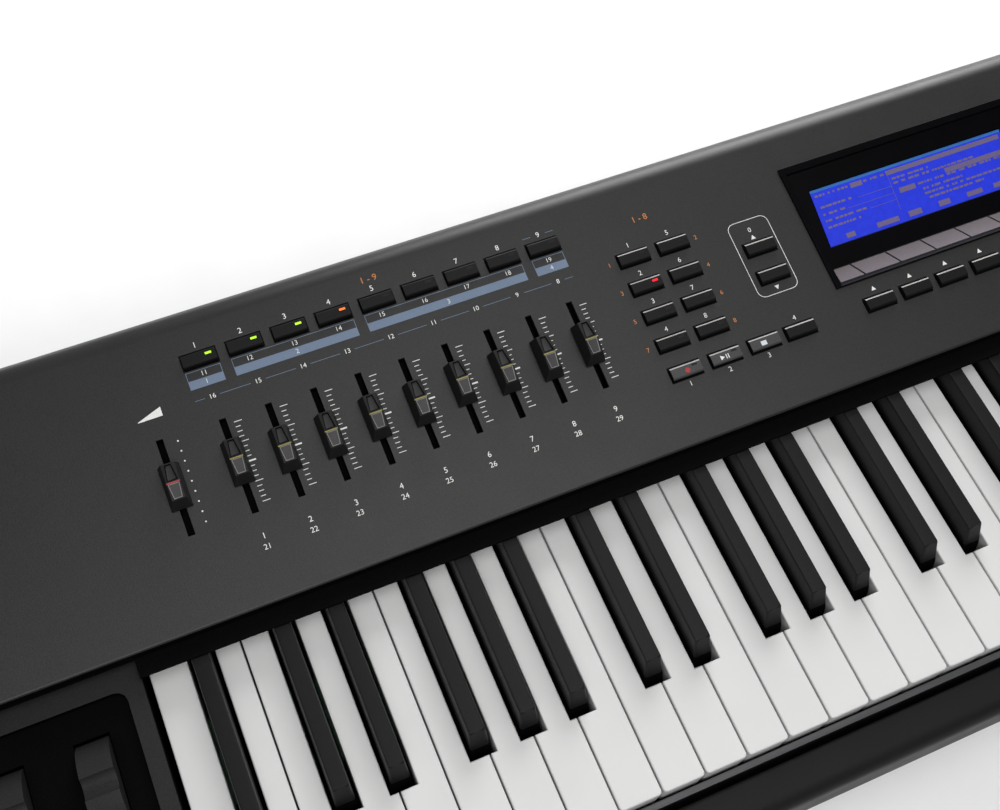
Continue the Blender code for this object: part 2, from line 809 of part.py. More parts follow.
def make_buttons(name, places):
    bars = strip_webs(places)
    first, *others = bars
    made = boxes(name, [((first[0], first[1], web_low), (first[2], first[3], web_top))], panel)
    rows = [bar for bar in others if bar[2] - bar[0] > button_width]
    links = [bar for bar in others if bar not in rows]
    if rows:
        web = boxes(name + "_webs", [((a, b, web_low), (c, d, web_top)) for a, b, c, d in rows], panel, True)
        combine(made, web, "UNION")
    if links:
        ties = boxes(name + "_ties", [((a, b, web_low + web_relief), (c, d, web_top - web_relief))
                                      for a, b, c, d in links], panel, True)
        combine(made, ties, "UNION")
    form = bmesh.new()
    for x, v in places:
        corners = add_box(form, (x - button_width / 2, v - button_depth / 2, (web_low + web_top) / 2),
                          (x + button_width / 2, v + button_depth / 2, button_rise))
        for corner in corners:
            if corner.co.z > 0:
                corner.co.y -= math.copysign(button_slope, corner.co.y - v)
    form.normal_update()
    edges = [edge for edge in form.edges
             if min(end.co.z for end in edge.verts) > 0
             and all(abs(end.co.x - edge.verts[0].co.x) > 0 for end in edge.verts[1:])]
    bmesh.ops.bevel(form, geom=edges, offset=button_slope, segments=1, affect="EDGES")
    combine(made, from_bmesh(name + "_caps", form, panel, True), "UNION")


for name, places in button_groups.items():
    make_buttons(name, places)

button_spans = [((x - button_width / 2 - button_clearance, v - button_depth / 2 - button_clearance,
                  -panel_wall * 3),
                 (x + button_width / 2 + button_clearance, v + button_depth / 2 + button_clearance,
                  panel_wall * 2)) for places in button_groups.values() for x, v in places]
combine(top_panel, boxes("button_holes", button_spans, panel, True), "DIFFERENCE")


# Faders and the board under the panel

fader_columns = column_run(fader_column, fader_count)
fader_sets = [("master_fader", master_column, master_rest)]
fader_sets += [(f"fader_{index}", column, rest)
               for index, (column, rest) in enumerate(zip(fader_columns, fader_rests), 1)]


def make_fader(name, column, rest):
    """A cap with a ridge across its middle, on a lever that reaches through the panel"""
    form = bmesh.new()
    half_x, half_v = fader_width / 2, fader_length / 2
    corners = add_box(form, (-half_x, -half_v, fader_lift), (half_x, half_v, fader_rise - fader_dip))
    for corner in corners:
        if corner.co.z > fader_rise / 2:
            corner.co.x = math.copysign(fader_face_width / 2, corner.co.x)
            corner.co.y = fader_face_rear if corner.co.y > 0 else -fader_face_front
    bmesh.ops.bisect_plane(form, geom=form.verts[:] + form.edges[:] + form.faces[:],
                           plane_co=(0, 0, 0), plane_no=(0, 1, 0))
    for corner in form.verts:
        if abs(corner.co.y) < fader_dip and corner.co.z > fader_rise / 2:
            corner.co.z = fader_rise
    made = from_bmesh(name, form, panel)
    lever = boxes(name + "_lever", [((-lever_width / 2, -lever_length / 2, -lever_depth),
                                     (lever_width / 2, lever_length / 2, fader_rise / 2))], panel, True)
    combine(made, lever, "UNION")
    for piece in (made, lever):
        piece.location = (column, fader_row + rest, 0)


for name, column, rest in fader_sets:
    make_fader(name, column, rest)

slot_boxes = [((column - fader_slot_width / 2, fader_row - fader_slot / 2, -panel_wall * 3),
               (column + fader_slot_width / 2, fader_row + fader_slot / 2, panel_wall * 2))
              for _, column, _ in fader_sets]
combine(top_panel, boxes("fader_slots", slot_boxes, panel, True), "DIFFERENCE")

body_left = display_left + display_edge + seat_gap
body_right = display_left + display_width - display_edge - seat_gap
body_front = display_front + display_edge
body_rear = display_rear - display_edge - seat_gap * 2
display_hole = [((body_left - seat_gap, body_front - seat_gap, -panel_wall * 3),
                 (body_right + seat_gap, body_rear + seat_gap, panel_wall * 2))]
combine(top_panel, boxes("display_hole", display_hole, panel, True), "DIFFERENCE")
wheel_v = mode_rows[1]
shaft_hole = cylinders("shaft_hole", [(wheel_column, wheel_v, 0)], data_shaft + running_gap,
                       panel_wall * 6, upright, panel, True)
combine(top_panel, shaft_hole, "DIFFERENCE")

board_top = -board_drop
board_low = board_top - board_wall
notch_left = display_left - board_notch_gap
notch_right = display_left + display_width + board_notch_gap
notch_front = display_front - display_rim
board_left = master_column - pot_width / 2 - board_left_margin
board_right = number_column + control_pitch * (number_columns - 1) + button_width / 2 + board_right_margin
board_front = low_row - button_depth / 2 - board_front_margin
board_rear = bank_row + button_depth / 2 + board_rear_margin
board = [(board_left, board_front), (board_right, board_front), (board_right, board_rear),
         (notch_right, board_rear), (notch_right, notch_front), (notch_left, notch_front),
         (notch_left, board_rear), (board_left, board_rear)]
panel_board = flat("panel_board", [board], board_low, board_top, panel)
sunk = board_top - board_wall / 2
pot_top = -panel_wall - seat_gap
pot_half = fader_slot / 2 + pot_margin
carriers = [((column - pot_width / 2, fader_row - pot_half, sunk),
             (column + pot_width / 2, fader_row + pot_half, pot_top)) for _, column, _ in fader_sets]
for places in button_groups.values():
    for row in sorted({v for _, v in places}):
        columns = [x for x, v in places if v == row]
        carriers.append(((min(columns) - button_depth / 2, row - button_depth / 2, sunk),
                         (max(columns) + button_depth / 2, row + button_depth / 2, carrier_top)))
encoder = data_shaft + pot_width / 2
carriers.append(((wheel_column - encoder, wheel_v - encoder, sunk),
                 (wheel_column + encoder, wheel_v + encoder, pot_top)))
combine(panel_board, boxes("carriers", carriers, panel, True), "UNION")
post_x = (board_left + post_radius * 2, mode_column - control_pitch, notch_left + post_radius,
          notch_right - post_radius * 2, board_right - post_radius * 2)
posts = [(x, board_front + post_radius * 1.5, (sunk + pot_top) / 2) for x in post_x]
post_rods = cylinders("posts", posts, post_radius, pot_top - sunk, upright, panel, True, sides=10)
combine(panel_board, post_rods, "UNION")
lever_half = lever_width / 2 + running_gap
lever_space = [((column - lever_half, fader_row - fader_slot / 2, -lever_depth - running_gap),
                (column + lever_half, fader_row + fader_slot / 2, panel_wall))
               for _, column, _ in fader_sets]
combine(panel_board, boxes("lever_space", lever_space, panel, True), "DIFFERENCE")
encoder_bore = cylinders("encoder_bore", [(wheel_column, wheel_v, 0)], data_shaft + seat_gap,
                         lever_depth * 2, upright, panel, True)
combine(panel_board, encoder_bore, "DIFFERENCE")

data_top = data_gap + data_rise
data_profile = [(0, data_top - data_dish), (data_radius * 0.78, data_top - data_dish),
                (data_radius * 0.86, data_top), (data_radius - data_edge, data_top),
                (data_radius, data_top - data_edge),
                (data_radius, data_gap), (data_shaft, data_gap), (data_shaft, -lever_depth + seat_gap),
                (0, -lever_depth + seat_gap)]
data_wheel = turned("data_wheel", data_profile, panel)
data_wheel.location = (wheel_column, wheel_v, 0)
form = bmesh.new()
bmesh.ops.create_uvsphere(form, u_segments=16, v_segments=10, radius=dimple_radius)
dimple = from_bmesh("dimple", form, panel, True)
dimple.location = (wheel_column, wheel_v + data_radius * 0.52, data_top + dimple_radius * 0.55)
combine(data_wheel, dimple, "DIFFERENCE")


# Display: a sunk window whose floor slopes towards the player, and the module behind it

recess_front = display_front + display_front_rim
recess_low = recess_front + ramp_length
recess_back = display_rear - display_rim - seat_gap * 4
floor_tilt = math.atan2(recess_depth - recess_rear, recess_back - recess_low)
floor_length = (recess_back - recess_low) / math.cos(floor_tilt)
wall_drop = display_wall / math.cos(floor_tilt)
back_low = recess_low - display_wall / 2


def floor_back(v):
    """Height of the underside of the recess floor at this place up the slope"""
    return (v - recess_low) * math.tan(floor_tilt) - recess_depth - wall_drop


window_body = [(body_front, display_rim_rise / 2), (body_front, -panel_wall * 2),
               (back_low, floor_back(back_low)), (body_rear, floor_back(body_rear)),
               (body_rear, display_rim_rise / 2)]
window = flat("display_window", [window_body], body_left, body_right, panel, along_x=True)
rim = boxes("display_rim", [((display_left, display_front, seat_gap),
                             (display_left + display_width, display_rear, display_rim_rise))], panel, True)
combine(window, rim, "UNION")
recess_top = display_rim_rise * 3
ramp_lean = (recess_low - recess_front) / recess_depth
recess = [(recess_low - (recess_depth + recess_top) * ramp_lean, recess_top), (recess_low, -recess_depth),
          (recess_back, -recess_rear), (recess_back, recess_top)]
recess_cut = flat("recess", [recess], display_left + display_rim, display_left + display_width - display_rim,
                  panel, True, along_x=True)
combine(window, recess_cut, "DIFFERENCE")

# The tilted frame of the recess floor starts at its front corner
floor = bpy.data.objects.new("floor_origin", None)
parts.objects.link(floor)
floor.parent = panel
floor.location = (display_centre, recess_low, -recess_depth)
floor.rotation_euler.x = floor_tilt
lcd_half = display_width / 2 - lcd_side
lcd_end = floor_length - lcd_rear
lcd_hole = boxes("lcd_hole", [((-lcd_half, lcd_front, -display_wall * 3),
                               (lcd_half, lcd_end, display_wall))], floor, True)
combine(window, lcd_hole, "DIFFERENCE")
module_top = -display_wall - seat_gap
module_half = lcd_half + module_margin
boxes("display_module", [((-module_half, lcd_front - module_margin, module_top - module_thick),
                          (module_half, lcd_end + module_margin, module_top))], floor)


# Electronics at the rear

board_y = rear_back - seat_gap * 3
board_start = bed_rear + main_board_front_gap
main_board_top = jack_z - main_board_drop
board_z = main_board_top - main_board_wall
board_edge = board_y - main_board_wall
main_left = rear_x[0] - main_board_margin
main_right = usb_x + main_board_margin
block_low = main_board_top - main_board_wall / 2
block_y = board_y - jack_body_length
main_board = boxes("main_board", [((main_left, board_start, board_z),
                                   (main_right, board_edge, main_board_top))])
half_body = jack_body / 2
blocks = [((x - half_body, block_y, block_low), (x + half_body, board_y, jack_z + half_body)) for x in rear_x]
blocks += [((x - din_radius - seat_gap, block_y, block_low),
            (x + din_radius + seat_gap, board_y, jack_z + half_body)) for x in din_x]
blocks += [((usb_x - usb_width / 3, block_y + main_board_wall, block_low),
            (usb_x + usb_width / 3, board_y, jack_z))]
blocks += [((x, board_start + main_board_wall, pan_top + seat_gap),
            (x + main_board_wall * 3, board_edge - main_board_wall, block_low))
           for x in (main_left + main_board_wall, main_right - main_board_wall * 4)]
combine(main_board, boxes("jack_blocks", blocks, tool=True), "UNION")
usb_block = boxes("usb_block", [((usb_x - usb_width / 2, block_y, jack_z - usb_height / 2),
                                 (usb_x + usb_width / 2, rear_face + socket_stand, jack_z + usb_height / 2))],
                  tool=True)
combine(main_board, usb_block, "UNION")


def noses(name, columns, radius, stand, sides):
    """Round sockets that run from inside their blocks to this height over the rear panel"""
    length = rear_face + stand - block_y - main_board_wall
    places = [(x, rear_face + stand - length / 2, jack_z) for x in columns]
    combine(main_board, cylinders(name, places, radius, length, turn_to_y, tool=True, sides=sides), "UNION")


noses("jack_noses", rear_x, jack_nose, jack_stand, 16)
noses("din_noses", din_x, din_radius, socket_stand, 20)
bores = cylinders("jack_bores", [(x, rear_face + jack_stand, jack_z) for x in rear_x], jack_bore,
                  jack_depth * 2, turn_to_y, tool=True, sides=12)
combine(main_board, bores, "DIFFERENCE")
din_sinks = cylinders("din_sinks", [(x, rear_face + socket_stand, jack_z) for x in din_x],
                      din_radius - din_rim, din_sink * 2, turn_to_y, tool=True, sides=20)
combine(main_board, din_sinks, "DIFFERENCE")
usb_mouth = boxes("usb_mouth", [((usb_x - usb_width / 2 + usb_rim, rear_face - usb_depth,
                                  jack_z - usb_height / 2 + usb_rim),
                                 (usb_x + usb_width / 2 - usb_rim, rear_face + usb_rim,
                                  jack_z + usb_height / 2 - usb_rim))], tool=True)
combine(main_board, usb_mouth, "DIFFERENCE")

supply_y = housing_y - supply_rear_gap
supply_start = bed_rear + supply_front_gap
inlet_face = rear_face + socket_stand
supply_half = supply_width / 2
power_supply = boxes("power_supply",
                     [((inlet_x - supply_half, supply_start, pan_top + seat_gap),
                       (inlet_x + supply_half, supply_y, pan_top + supply_height))])
inlet = boxes("inlet", [((inlet_x - inlet_width / 2, supply_y - inlet_wall, jack_z - inlet_height / 2),
                         (inlet_x + inlet_width / 2, inlet_face, jack_z + inlet_height / 2))], tool=True)
combine(power_supply, inlet, "UNION")
inlet_space = boxes("inlet_space", [((inlet_x - inlet_width / 2 + inlet_wall, inlet_face - inlet_depth,
                                      jack_z - inlet_height / 2 + inlet_wall),
                                     (inlet_x + inlet_width / 2 - inlet_wall, inlet_face + inlet_wall,
                                      jack_z + inlet_height / 2 - inlet_wall))], tool=True)
combine(power_supply, inlet_space, "DIFFERENCE")
switch_frame = boxes("switch_frame", [((switch_x - frame_half, supply_y - switch_housing_wall,
                                        jack_z - frame_rise),
                                       (switch_x + frame_half, inlet_face, jack_z + frame_rise))], tool=True)
combine(power_supply, switch_frame, "UNION")
switch_space = boxes("switch_space", [((switch_x - housing_half, housing_y, jack_z - housing_rise),
                                       (switch_x + housing_half, rear_face + rear_wall,
                                        jack_z + housing_rise))], tool=True)
combine(power_supply, switch_space, "DIFFERENCE")

half_width = switch_width / 2
pivot_y = rear_face - switch_depth / 2 - switch_height / 2 * math.sin(switch_tilt) + socket_stand
rocker_outline = [(-switch_depth / 2, -switch_height / 3), (switch_depth / 2, -switch_height / 2),
                  (switch_depth / 2 - switch_height / 2 * math.tan(switch_tilt), 0),
                  (switch_depth / 2, switch_height / 2), (-switch_depth / 2, switch_height / 3)]
rocker = flat("power_switch", [rocker_outline], -half_width, half_width, along_x=True)
rocker.data.transform(Matrix.Rotation(-switch_tilt, 4, "X"))
rocker.location = (switch_x, pivot_y, jack_z)

bpy.context.view_layer.update()


# Colours

fader_names = [name for name, _, _ in fader_sets]
paint(outer_names + inner_names, (0.62, 0.62, 0.60), 0.32)
paint(sharp_names, (0.02, 0.02, 0.02), 0.45)
paint(["top_panel", "key_slip", "left_cheek", "right_cheek", "wheel_plate"], (0.048, 0.051, 0.050), 0.5)
paint(["bottom_pan", "rear_panel"], (0.03, 0.03, 0.03), 0.5)
paint(["keybed_frame"], (0.06, 0.06, 0.062), 0.6)
paint(list(foot_places), (0.015, 0.015, 0.015), 0.8)
paint(list(button_groups), (0.018, 0.018, 0.018), 0.35)
paint(fader_names + ["pitch_wheel", "mod_wheel", "data_wheel", "power_switch"], (0.025, 0.025, 0.026), 0.4)
paint(["display_window"], (0.01, 0.01, 0.012), 0.1)
paint(["display_module"], (0.03, 0.05, 0.8), 0.3)
paint(["contact_board", "panel_board", "main_board"], (0.02, 0.16, 0.07), 0.5)
paint(["power_supply"], (0.55, 0.55, 0.56), 0.35, 0.9)
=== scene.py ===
# Looks of the music workstation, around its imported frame. Metres, +Z up, the player sits at -Y.

import json
import math
import random

import bpy
from mathutils import Matrix, Vector


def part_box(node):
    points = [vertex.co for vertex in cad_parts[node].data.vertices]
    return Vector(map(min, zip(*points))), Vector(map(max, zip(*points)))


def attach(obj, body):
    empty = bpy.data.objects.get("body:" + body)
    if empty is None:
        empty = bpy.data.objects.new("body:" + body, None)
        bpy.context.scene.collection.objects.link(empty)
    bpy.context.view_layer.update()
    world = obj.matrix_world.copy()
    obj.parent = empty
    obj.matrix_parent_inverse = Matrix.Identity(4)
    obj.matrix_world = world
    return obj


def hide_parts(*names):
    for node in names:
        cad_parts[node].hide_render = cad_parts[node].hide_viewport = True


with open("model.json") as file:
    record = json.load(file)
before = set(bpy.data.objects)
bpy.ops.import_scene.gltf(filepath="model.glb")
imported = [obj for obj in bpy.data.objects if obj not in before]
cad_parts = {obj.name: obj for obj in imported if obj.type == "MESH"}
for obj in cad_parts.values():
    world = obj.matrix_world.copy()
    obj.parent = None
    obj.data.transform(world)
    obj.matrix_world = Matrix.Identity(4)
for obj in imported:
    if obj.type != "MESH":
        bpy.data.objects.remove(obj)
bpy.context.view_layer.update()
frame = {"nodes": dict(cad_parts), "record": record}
nodes = frame["nodes"]
joints = {joint["name"]: joint for joint in frame["record"]["behaviour"]["joints"]}
random.seed(7)
for name in ("Cube", "Light", "Camera"):
    if name in bpy.data.objects:
        bpy.data.objects.remove(bpy.data.objects[name], do_unlink=True)
print("stage: frame loaded with", len(nodes), "nodes")


# Places shared by many pieces. The panel's own frame has X from the first key, V up the slope and W out of it
across = Vector((1, 0, 0))
slope = Vector(joints["master_fader_slide"]["axis"])
outward = across.cross(slope)
dataWheelColumn = 0.7020
dataWheelRow = 0.0752
panelStart = Vector(joints["data_wheel_turn"]["pos_m"]) - across * dataWheelColumn - slope * dataWheelRow
panelPlace = Matrix.Translation(panelStart) @ Matrix((across, slope, outward)).transposed().to_4x4()
flatPlace = panelPlace.inverted()
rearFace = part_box("rear_panel")[1].y
buttonPitch = 0.02445
rowPitch = 0.0177
lowRow = 0.0398
capTop = 0.0026
rows = [lowRow + rowPitch * row for row in range(5)]
bankColumns = [0.0743 + buttonPitch * column for column in range(9)]
bankRow = 0.1330
lastCaps = 0.3868
modeColumns = [0.3157, 0.34015]
transportColumns = [0.3157, 0.34015, 0.3646]
channelColumn = 0.3878
softColumns = [0.4999 + 0.024 * (column - 2.5) for column in range(6)]
cursorColumns = [0.6060, 0.63045, 0.6549]
numberColumns = [0.7620 + buttonPitch * column for column in range(3)]
faderColumns = [0.0749 + buttonPitch * column for column in range(9)]
masterColumn = 0.0420
printRise = 0.00006


# Camera: the photograph is 1000 by 810 pixels
camera = {
    "right": (0.917958, -0.392250, 0.059099),
    "up": (0.322975, 0.825558, 0.462753),
    "back": (-0.230305, -0.405700, 0.884515),
    "place": (-0.50428, -0.21195, 0.71361),
    "lens": 46.45,
    "sensor": 36,
}
turn = Matrix((camera["right"], camera["up"], camera["back"])).transposed()
cameraData = bpy.data.cameras.new("photoCamera")
cameraData.lens = camera["lens"]
cameraData.sensor_width = camera["sensor"]
cameraObject = bpy.data.objects.new("photoCamera", cameraData)
cameraObject.matrix_world = Matrix.Translation(camera["place"]) @ turn.to_4x4()
bpy.context.scene.collection.objects.link(cameraObject)
bpy.context.scene.camera = cameraObject


# Modelling steps

def deselectAll():
    for other in list(bpy.context.selected_objects):
        other.select_set(False)


def makeActive(piece):
    deselectAll()
    piece.select_set(True)
    bpy.context.view_layer.objects.active = piece


def setMode(mode):
    bpy.ops.object.mode_set(mode=mode)


def newPiece(name, mesh):
    piece = bpy.data.objects.new(name, mesh)
    bpy.context.scene.collection.objects.link(piece)
    return piece


def applied(piece, kind, **settings):
    modifier = piece.modifiers.new(kind.lower(), kind)
    for setting, value in settings.items():
        setattr(modifier, setting, value)
    makeActive(piece)
    bpy.ops.object.modifier_apply(modifier=modifier.name)
    return piece


def eased(piece, width, segments=2, angle=30):
    return applied(piece, "BEVEL", width=width, segments=segments, limit_method="ANGLE",
                   angle_limit=math.radians(angle))


def smoothed(piece, angle=35):
    # Broad faces keep their own shading, so only the eased edges look round
    makeActive(piece)
    bpy.ops.object.shade_smooth_by_angle(angle=math.radians(angle))
    return applied(piece, "WEIGHTED_NORMAL", keep_sharp=True)


def settled(name):
    # The new piece keeps its place, turn and size in its mesh
    bpy.ops.object.transform_apply(location=True, rotation=True, scale=True)
    bpy.context.object.name = name
    return bpy.context.object


def addBlock(name, low, high):
    deselectAll()
    size = [top - bottom for bottom, top in zip(low, high)]
    middle = [(top + bottom) / 2 for bottom, top in zip(low, high)]
    bpy.ops.mesh.primitive_cube_add(size=1, location=middle, scale=size)
    return settled(name)


def addRod(name, place, radius, length, sides=24, turn=(0, 0, 0)):
    deselectAll()
    bpy.ops.mesh.primitive_cone_add(vertices=sides, radius1=radius, radius2=radius, depth=length,
                                    location=place, rotation=turn)
    return settled(name)


def editFaces(piece, chosen, *steps):
    # Runs edit mode operators on the faces that pass a test on their centre and normal
    makeActive(piece)
    setMode("EDIT")
    bpy.ops.mesh.select_mode(type="FACE")
    bpy.ops.mesh.select_all(action="DESELECT")
    setMode("OBJECT")
    for face in piece.data.polygons:
        face.select = bool(chosen(face.center, face.normal))
    setMode("EDIT")
    for step in steps:
        step()
    setMode("OBJECT")
    return piece


def roundRim(piece, chosen, width, segments=3):
    # Rounds the outline of the faces that pass the test
    return editFaces(piece, chosen, lambda: bpy.ops.mesh.region_to_loop(),
                     lambda: bpy.ops.mesh.bevel(offset=width, segments=segments, affect="EDGES"))


def roundEdges(piece, chosen, width, segments=4):
    # Rounds the edges whose two ends pass the test
    editFaces(piece, lambda centre, normal: False)
    points = piece.data.vertices
    for edge in piece.data.edges:
        edge.select = chosen(*[points[index].co for index in edge.vertices])
    setMode("EDIT")
    bpy.ops.mesh.select_mode(type="EDGE")
    bpy.ops.mesh.bevel(offset=width, segments=segments, affect="EDGES")
    setMode("OBJECT")
    return piece


def editAll(piece, *steps):
    # Runs edit mode operators on the whole piece
    makeActive(piece)
    setMode("EDIT")
    bpy.ops.mesh.select_all(action="SELECT")
    for step in steps:
        step()
    setMode("OBJECT")
    return piece


def cleaned(piece):
    return editAll(piece, lambda: bpy.ops.mesh.remove_doubles(threshold=0.000002),
                   lambda: bpy.ops.mesh.dissolve_limited(angle_limit=math.radians(0.6)))


def copyOf(piece, name, move=(0, 0, 0)):
    copied = newPiece(name, piece.data.copy())
    copied.data.transform(Matrix.Translation(move))
    return copied


def discard(piece):
    bpy.data.objects.remove(piece, do_unlink=True)


def joined(name, pieces):
    deselectAll()
    for piece in pieces:
        piece.select_set(True)
    bpy.context.view_layer.objects.active = pieces[0]
    if len(pieces) > 1:
        bpy.ops.object.join()
    pieces[0].name = name
    return pieces[0]


def repeated(name, pattern, moves):
    # The pattern is modelled once, then copied to every place and joined
    copies = [copyOf(pattern, name, move) for move in moves]
    discard(pattern)
    return joined(name, copies)


def dressed(piece, *chosen):
    # One material slot for each finish. Faces keep the slot that they were given
    slots = [face.material_index for face in piece.data.polygons]
    piece.data.materials.clear()
    for finish in chosen:
        piece.data.materials.append(materials[finish])
    for face, slot in zip(piece.data.polygons, slots):
        face.material_index = slot
    return piece


def paintFaces(piece, slotIndex, chosen):
    for face in piece.data.polygons:
        if chosen(face.center, face.normal):
            face.material_index = slotIndex


def finished(piece, name, body, slotName, *stands, place=None):
    if place is not None:
        piece.data.transform(place)
    piece.name = name
    piece.data.name = name
    if stands:
        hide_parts(*stands)
    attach(piece, body)
    return piece


def added(piece, name, finish, body="case", slotName="panel_paint", place=panelPlace):
    # A piece in one finish that stands for no solid
    return finished(dressed(piece, finish), name, body, slotName, place=place)


def cadCopy(node, name):
    return cleaned(newPiece(name, nodes[node].data.copy()))


# Materials

def shaderOf(name):
    material = bpy.data.materials.new(name)
    material.use_nodes = True
    return material, material.node_tree, material.node_tree.nodes["Principled BSDF"]


def addNode(tree, kind, **values):
    made = tree.nodes.new(kind)
    for key, value in values.items():
        if key in made.inputs:
            made.inputs[key].default_value = value
        else:
            setattr(made, key, value)
    return made


def setInputs(node, values):
    for name, value in values.items():
        node.inputs[name].default_value = value


def grain(tree, size, detail=2.0, stretch=None):
    # Noise on the piece's own place, with this spacing in metres
    place = addNode(tree, "ShaderNodeTexCoord").outputs["Object"]
    noise = addNode(tree, "ShaderNodeTexNoise", Scale=1 / size, Detail=detail)
    if stretch:
        mapping = addNode(tree, "ShaderNodeMapping", Scale=stretch)
        tree.links.new(place, mapping.inputs["Vector"])
        place = mapping.outputs["Vector"]
    tree.links.new(place, noise.inputs["Vector"])
    return noise.outputs["Fac"]


def toneBetween(tree, amount, dark, light, start=0.35, end=0.65):
    ramp = tree.nodes.new("ShaderNodeValToRGB")
    ramp.color_ramp.elements[0].position = start
    ramp.color_ramp.elements[1].position = end
    ramp.color_ramp.elements[0].color = (*dark, 1)
    ramp.color_ramp.elements[1].color = (*light, 1)
    tree.links.new(amount, ramp.inputs["Fac"])
    return ramp.outputs["Color"]


def finishOf(name, look):
    # Two tones with a fine grain in the colour, the gloss and the surface, 0.6 mm wide unless it is given
    material, tree, shader = shaderOf(name)
    colour = Vector(look["colour"])
    spread = look.get("spread", 0.15)
    spacing = look.get("grain", 0.0006)
    tone = grain(tree, spacing, stretch=look.get("stretch"))
    dark, light = colour * (1 - spread), colour * (1 + spread)
    tree.links.new(toneBetween(tree, tone, dark, light), shader.inputs["Base Color"])
    rough = look["rough"]
    shine = tree.nodes.new("ShaderNodeMapRange")
    setInputs(shine, {"To Min": rough * 0.85, "To Max": min(rough * 1.15, 1)})
    tree.links.new(grain(tree, look.get("wear", 0.02), 4.0), shine.inputs["Value"])
    tree.links.new(shine.outputs["Result"], shader.inputs["Roughness"])
    if look.get("bump"):
        bump = addNode(tree, "ShaderNodeBump", Strength=look["bump"], Distance=spacing / 3)
        tree.links.new(tone, bump.inputs["Height"])
        tree.links.new(bump.outputs["Normal"], shader.inputs["Normal"])
    setInputs(shader, {"Metallic": look.get("metal", 0), "Specular IOR Level": look.get("specular", 0.5)})
    return material


def glowing(name, colour, strength, rough):
    material, tree, shader = shaderOf(name)
    tinted = toneBetween(tree, grain(tree, 0.004), Vector(colour) * 0.9, Vector(colour))
    tree.links.new(tinted, shader.inputs["Base Color"])
    tree.links.new(tinted, shader.inputs["Emission Color"])
    setInputs(shader, {"Emission Strength": strength, "Specular IOR Level": 0.15, "Roughness": rough})
    return material


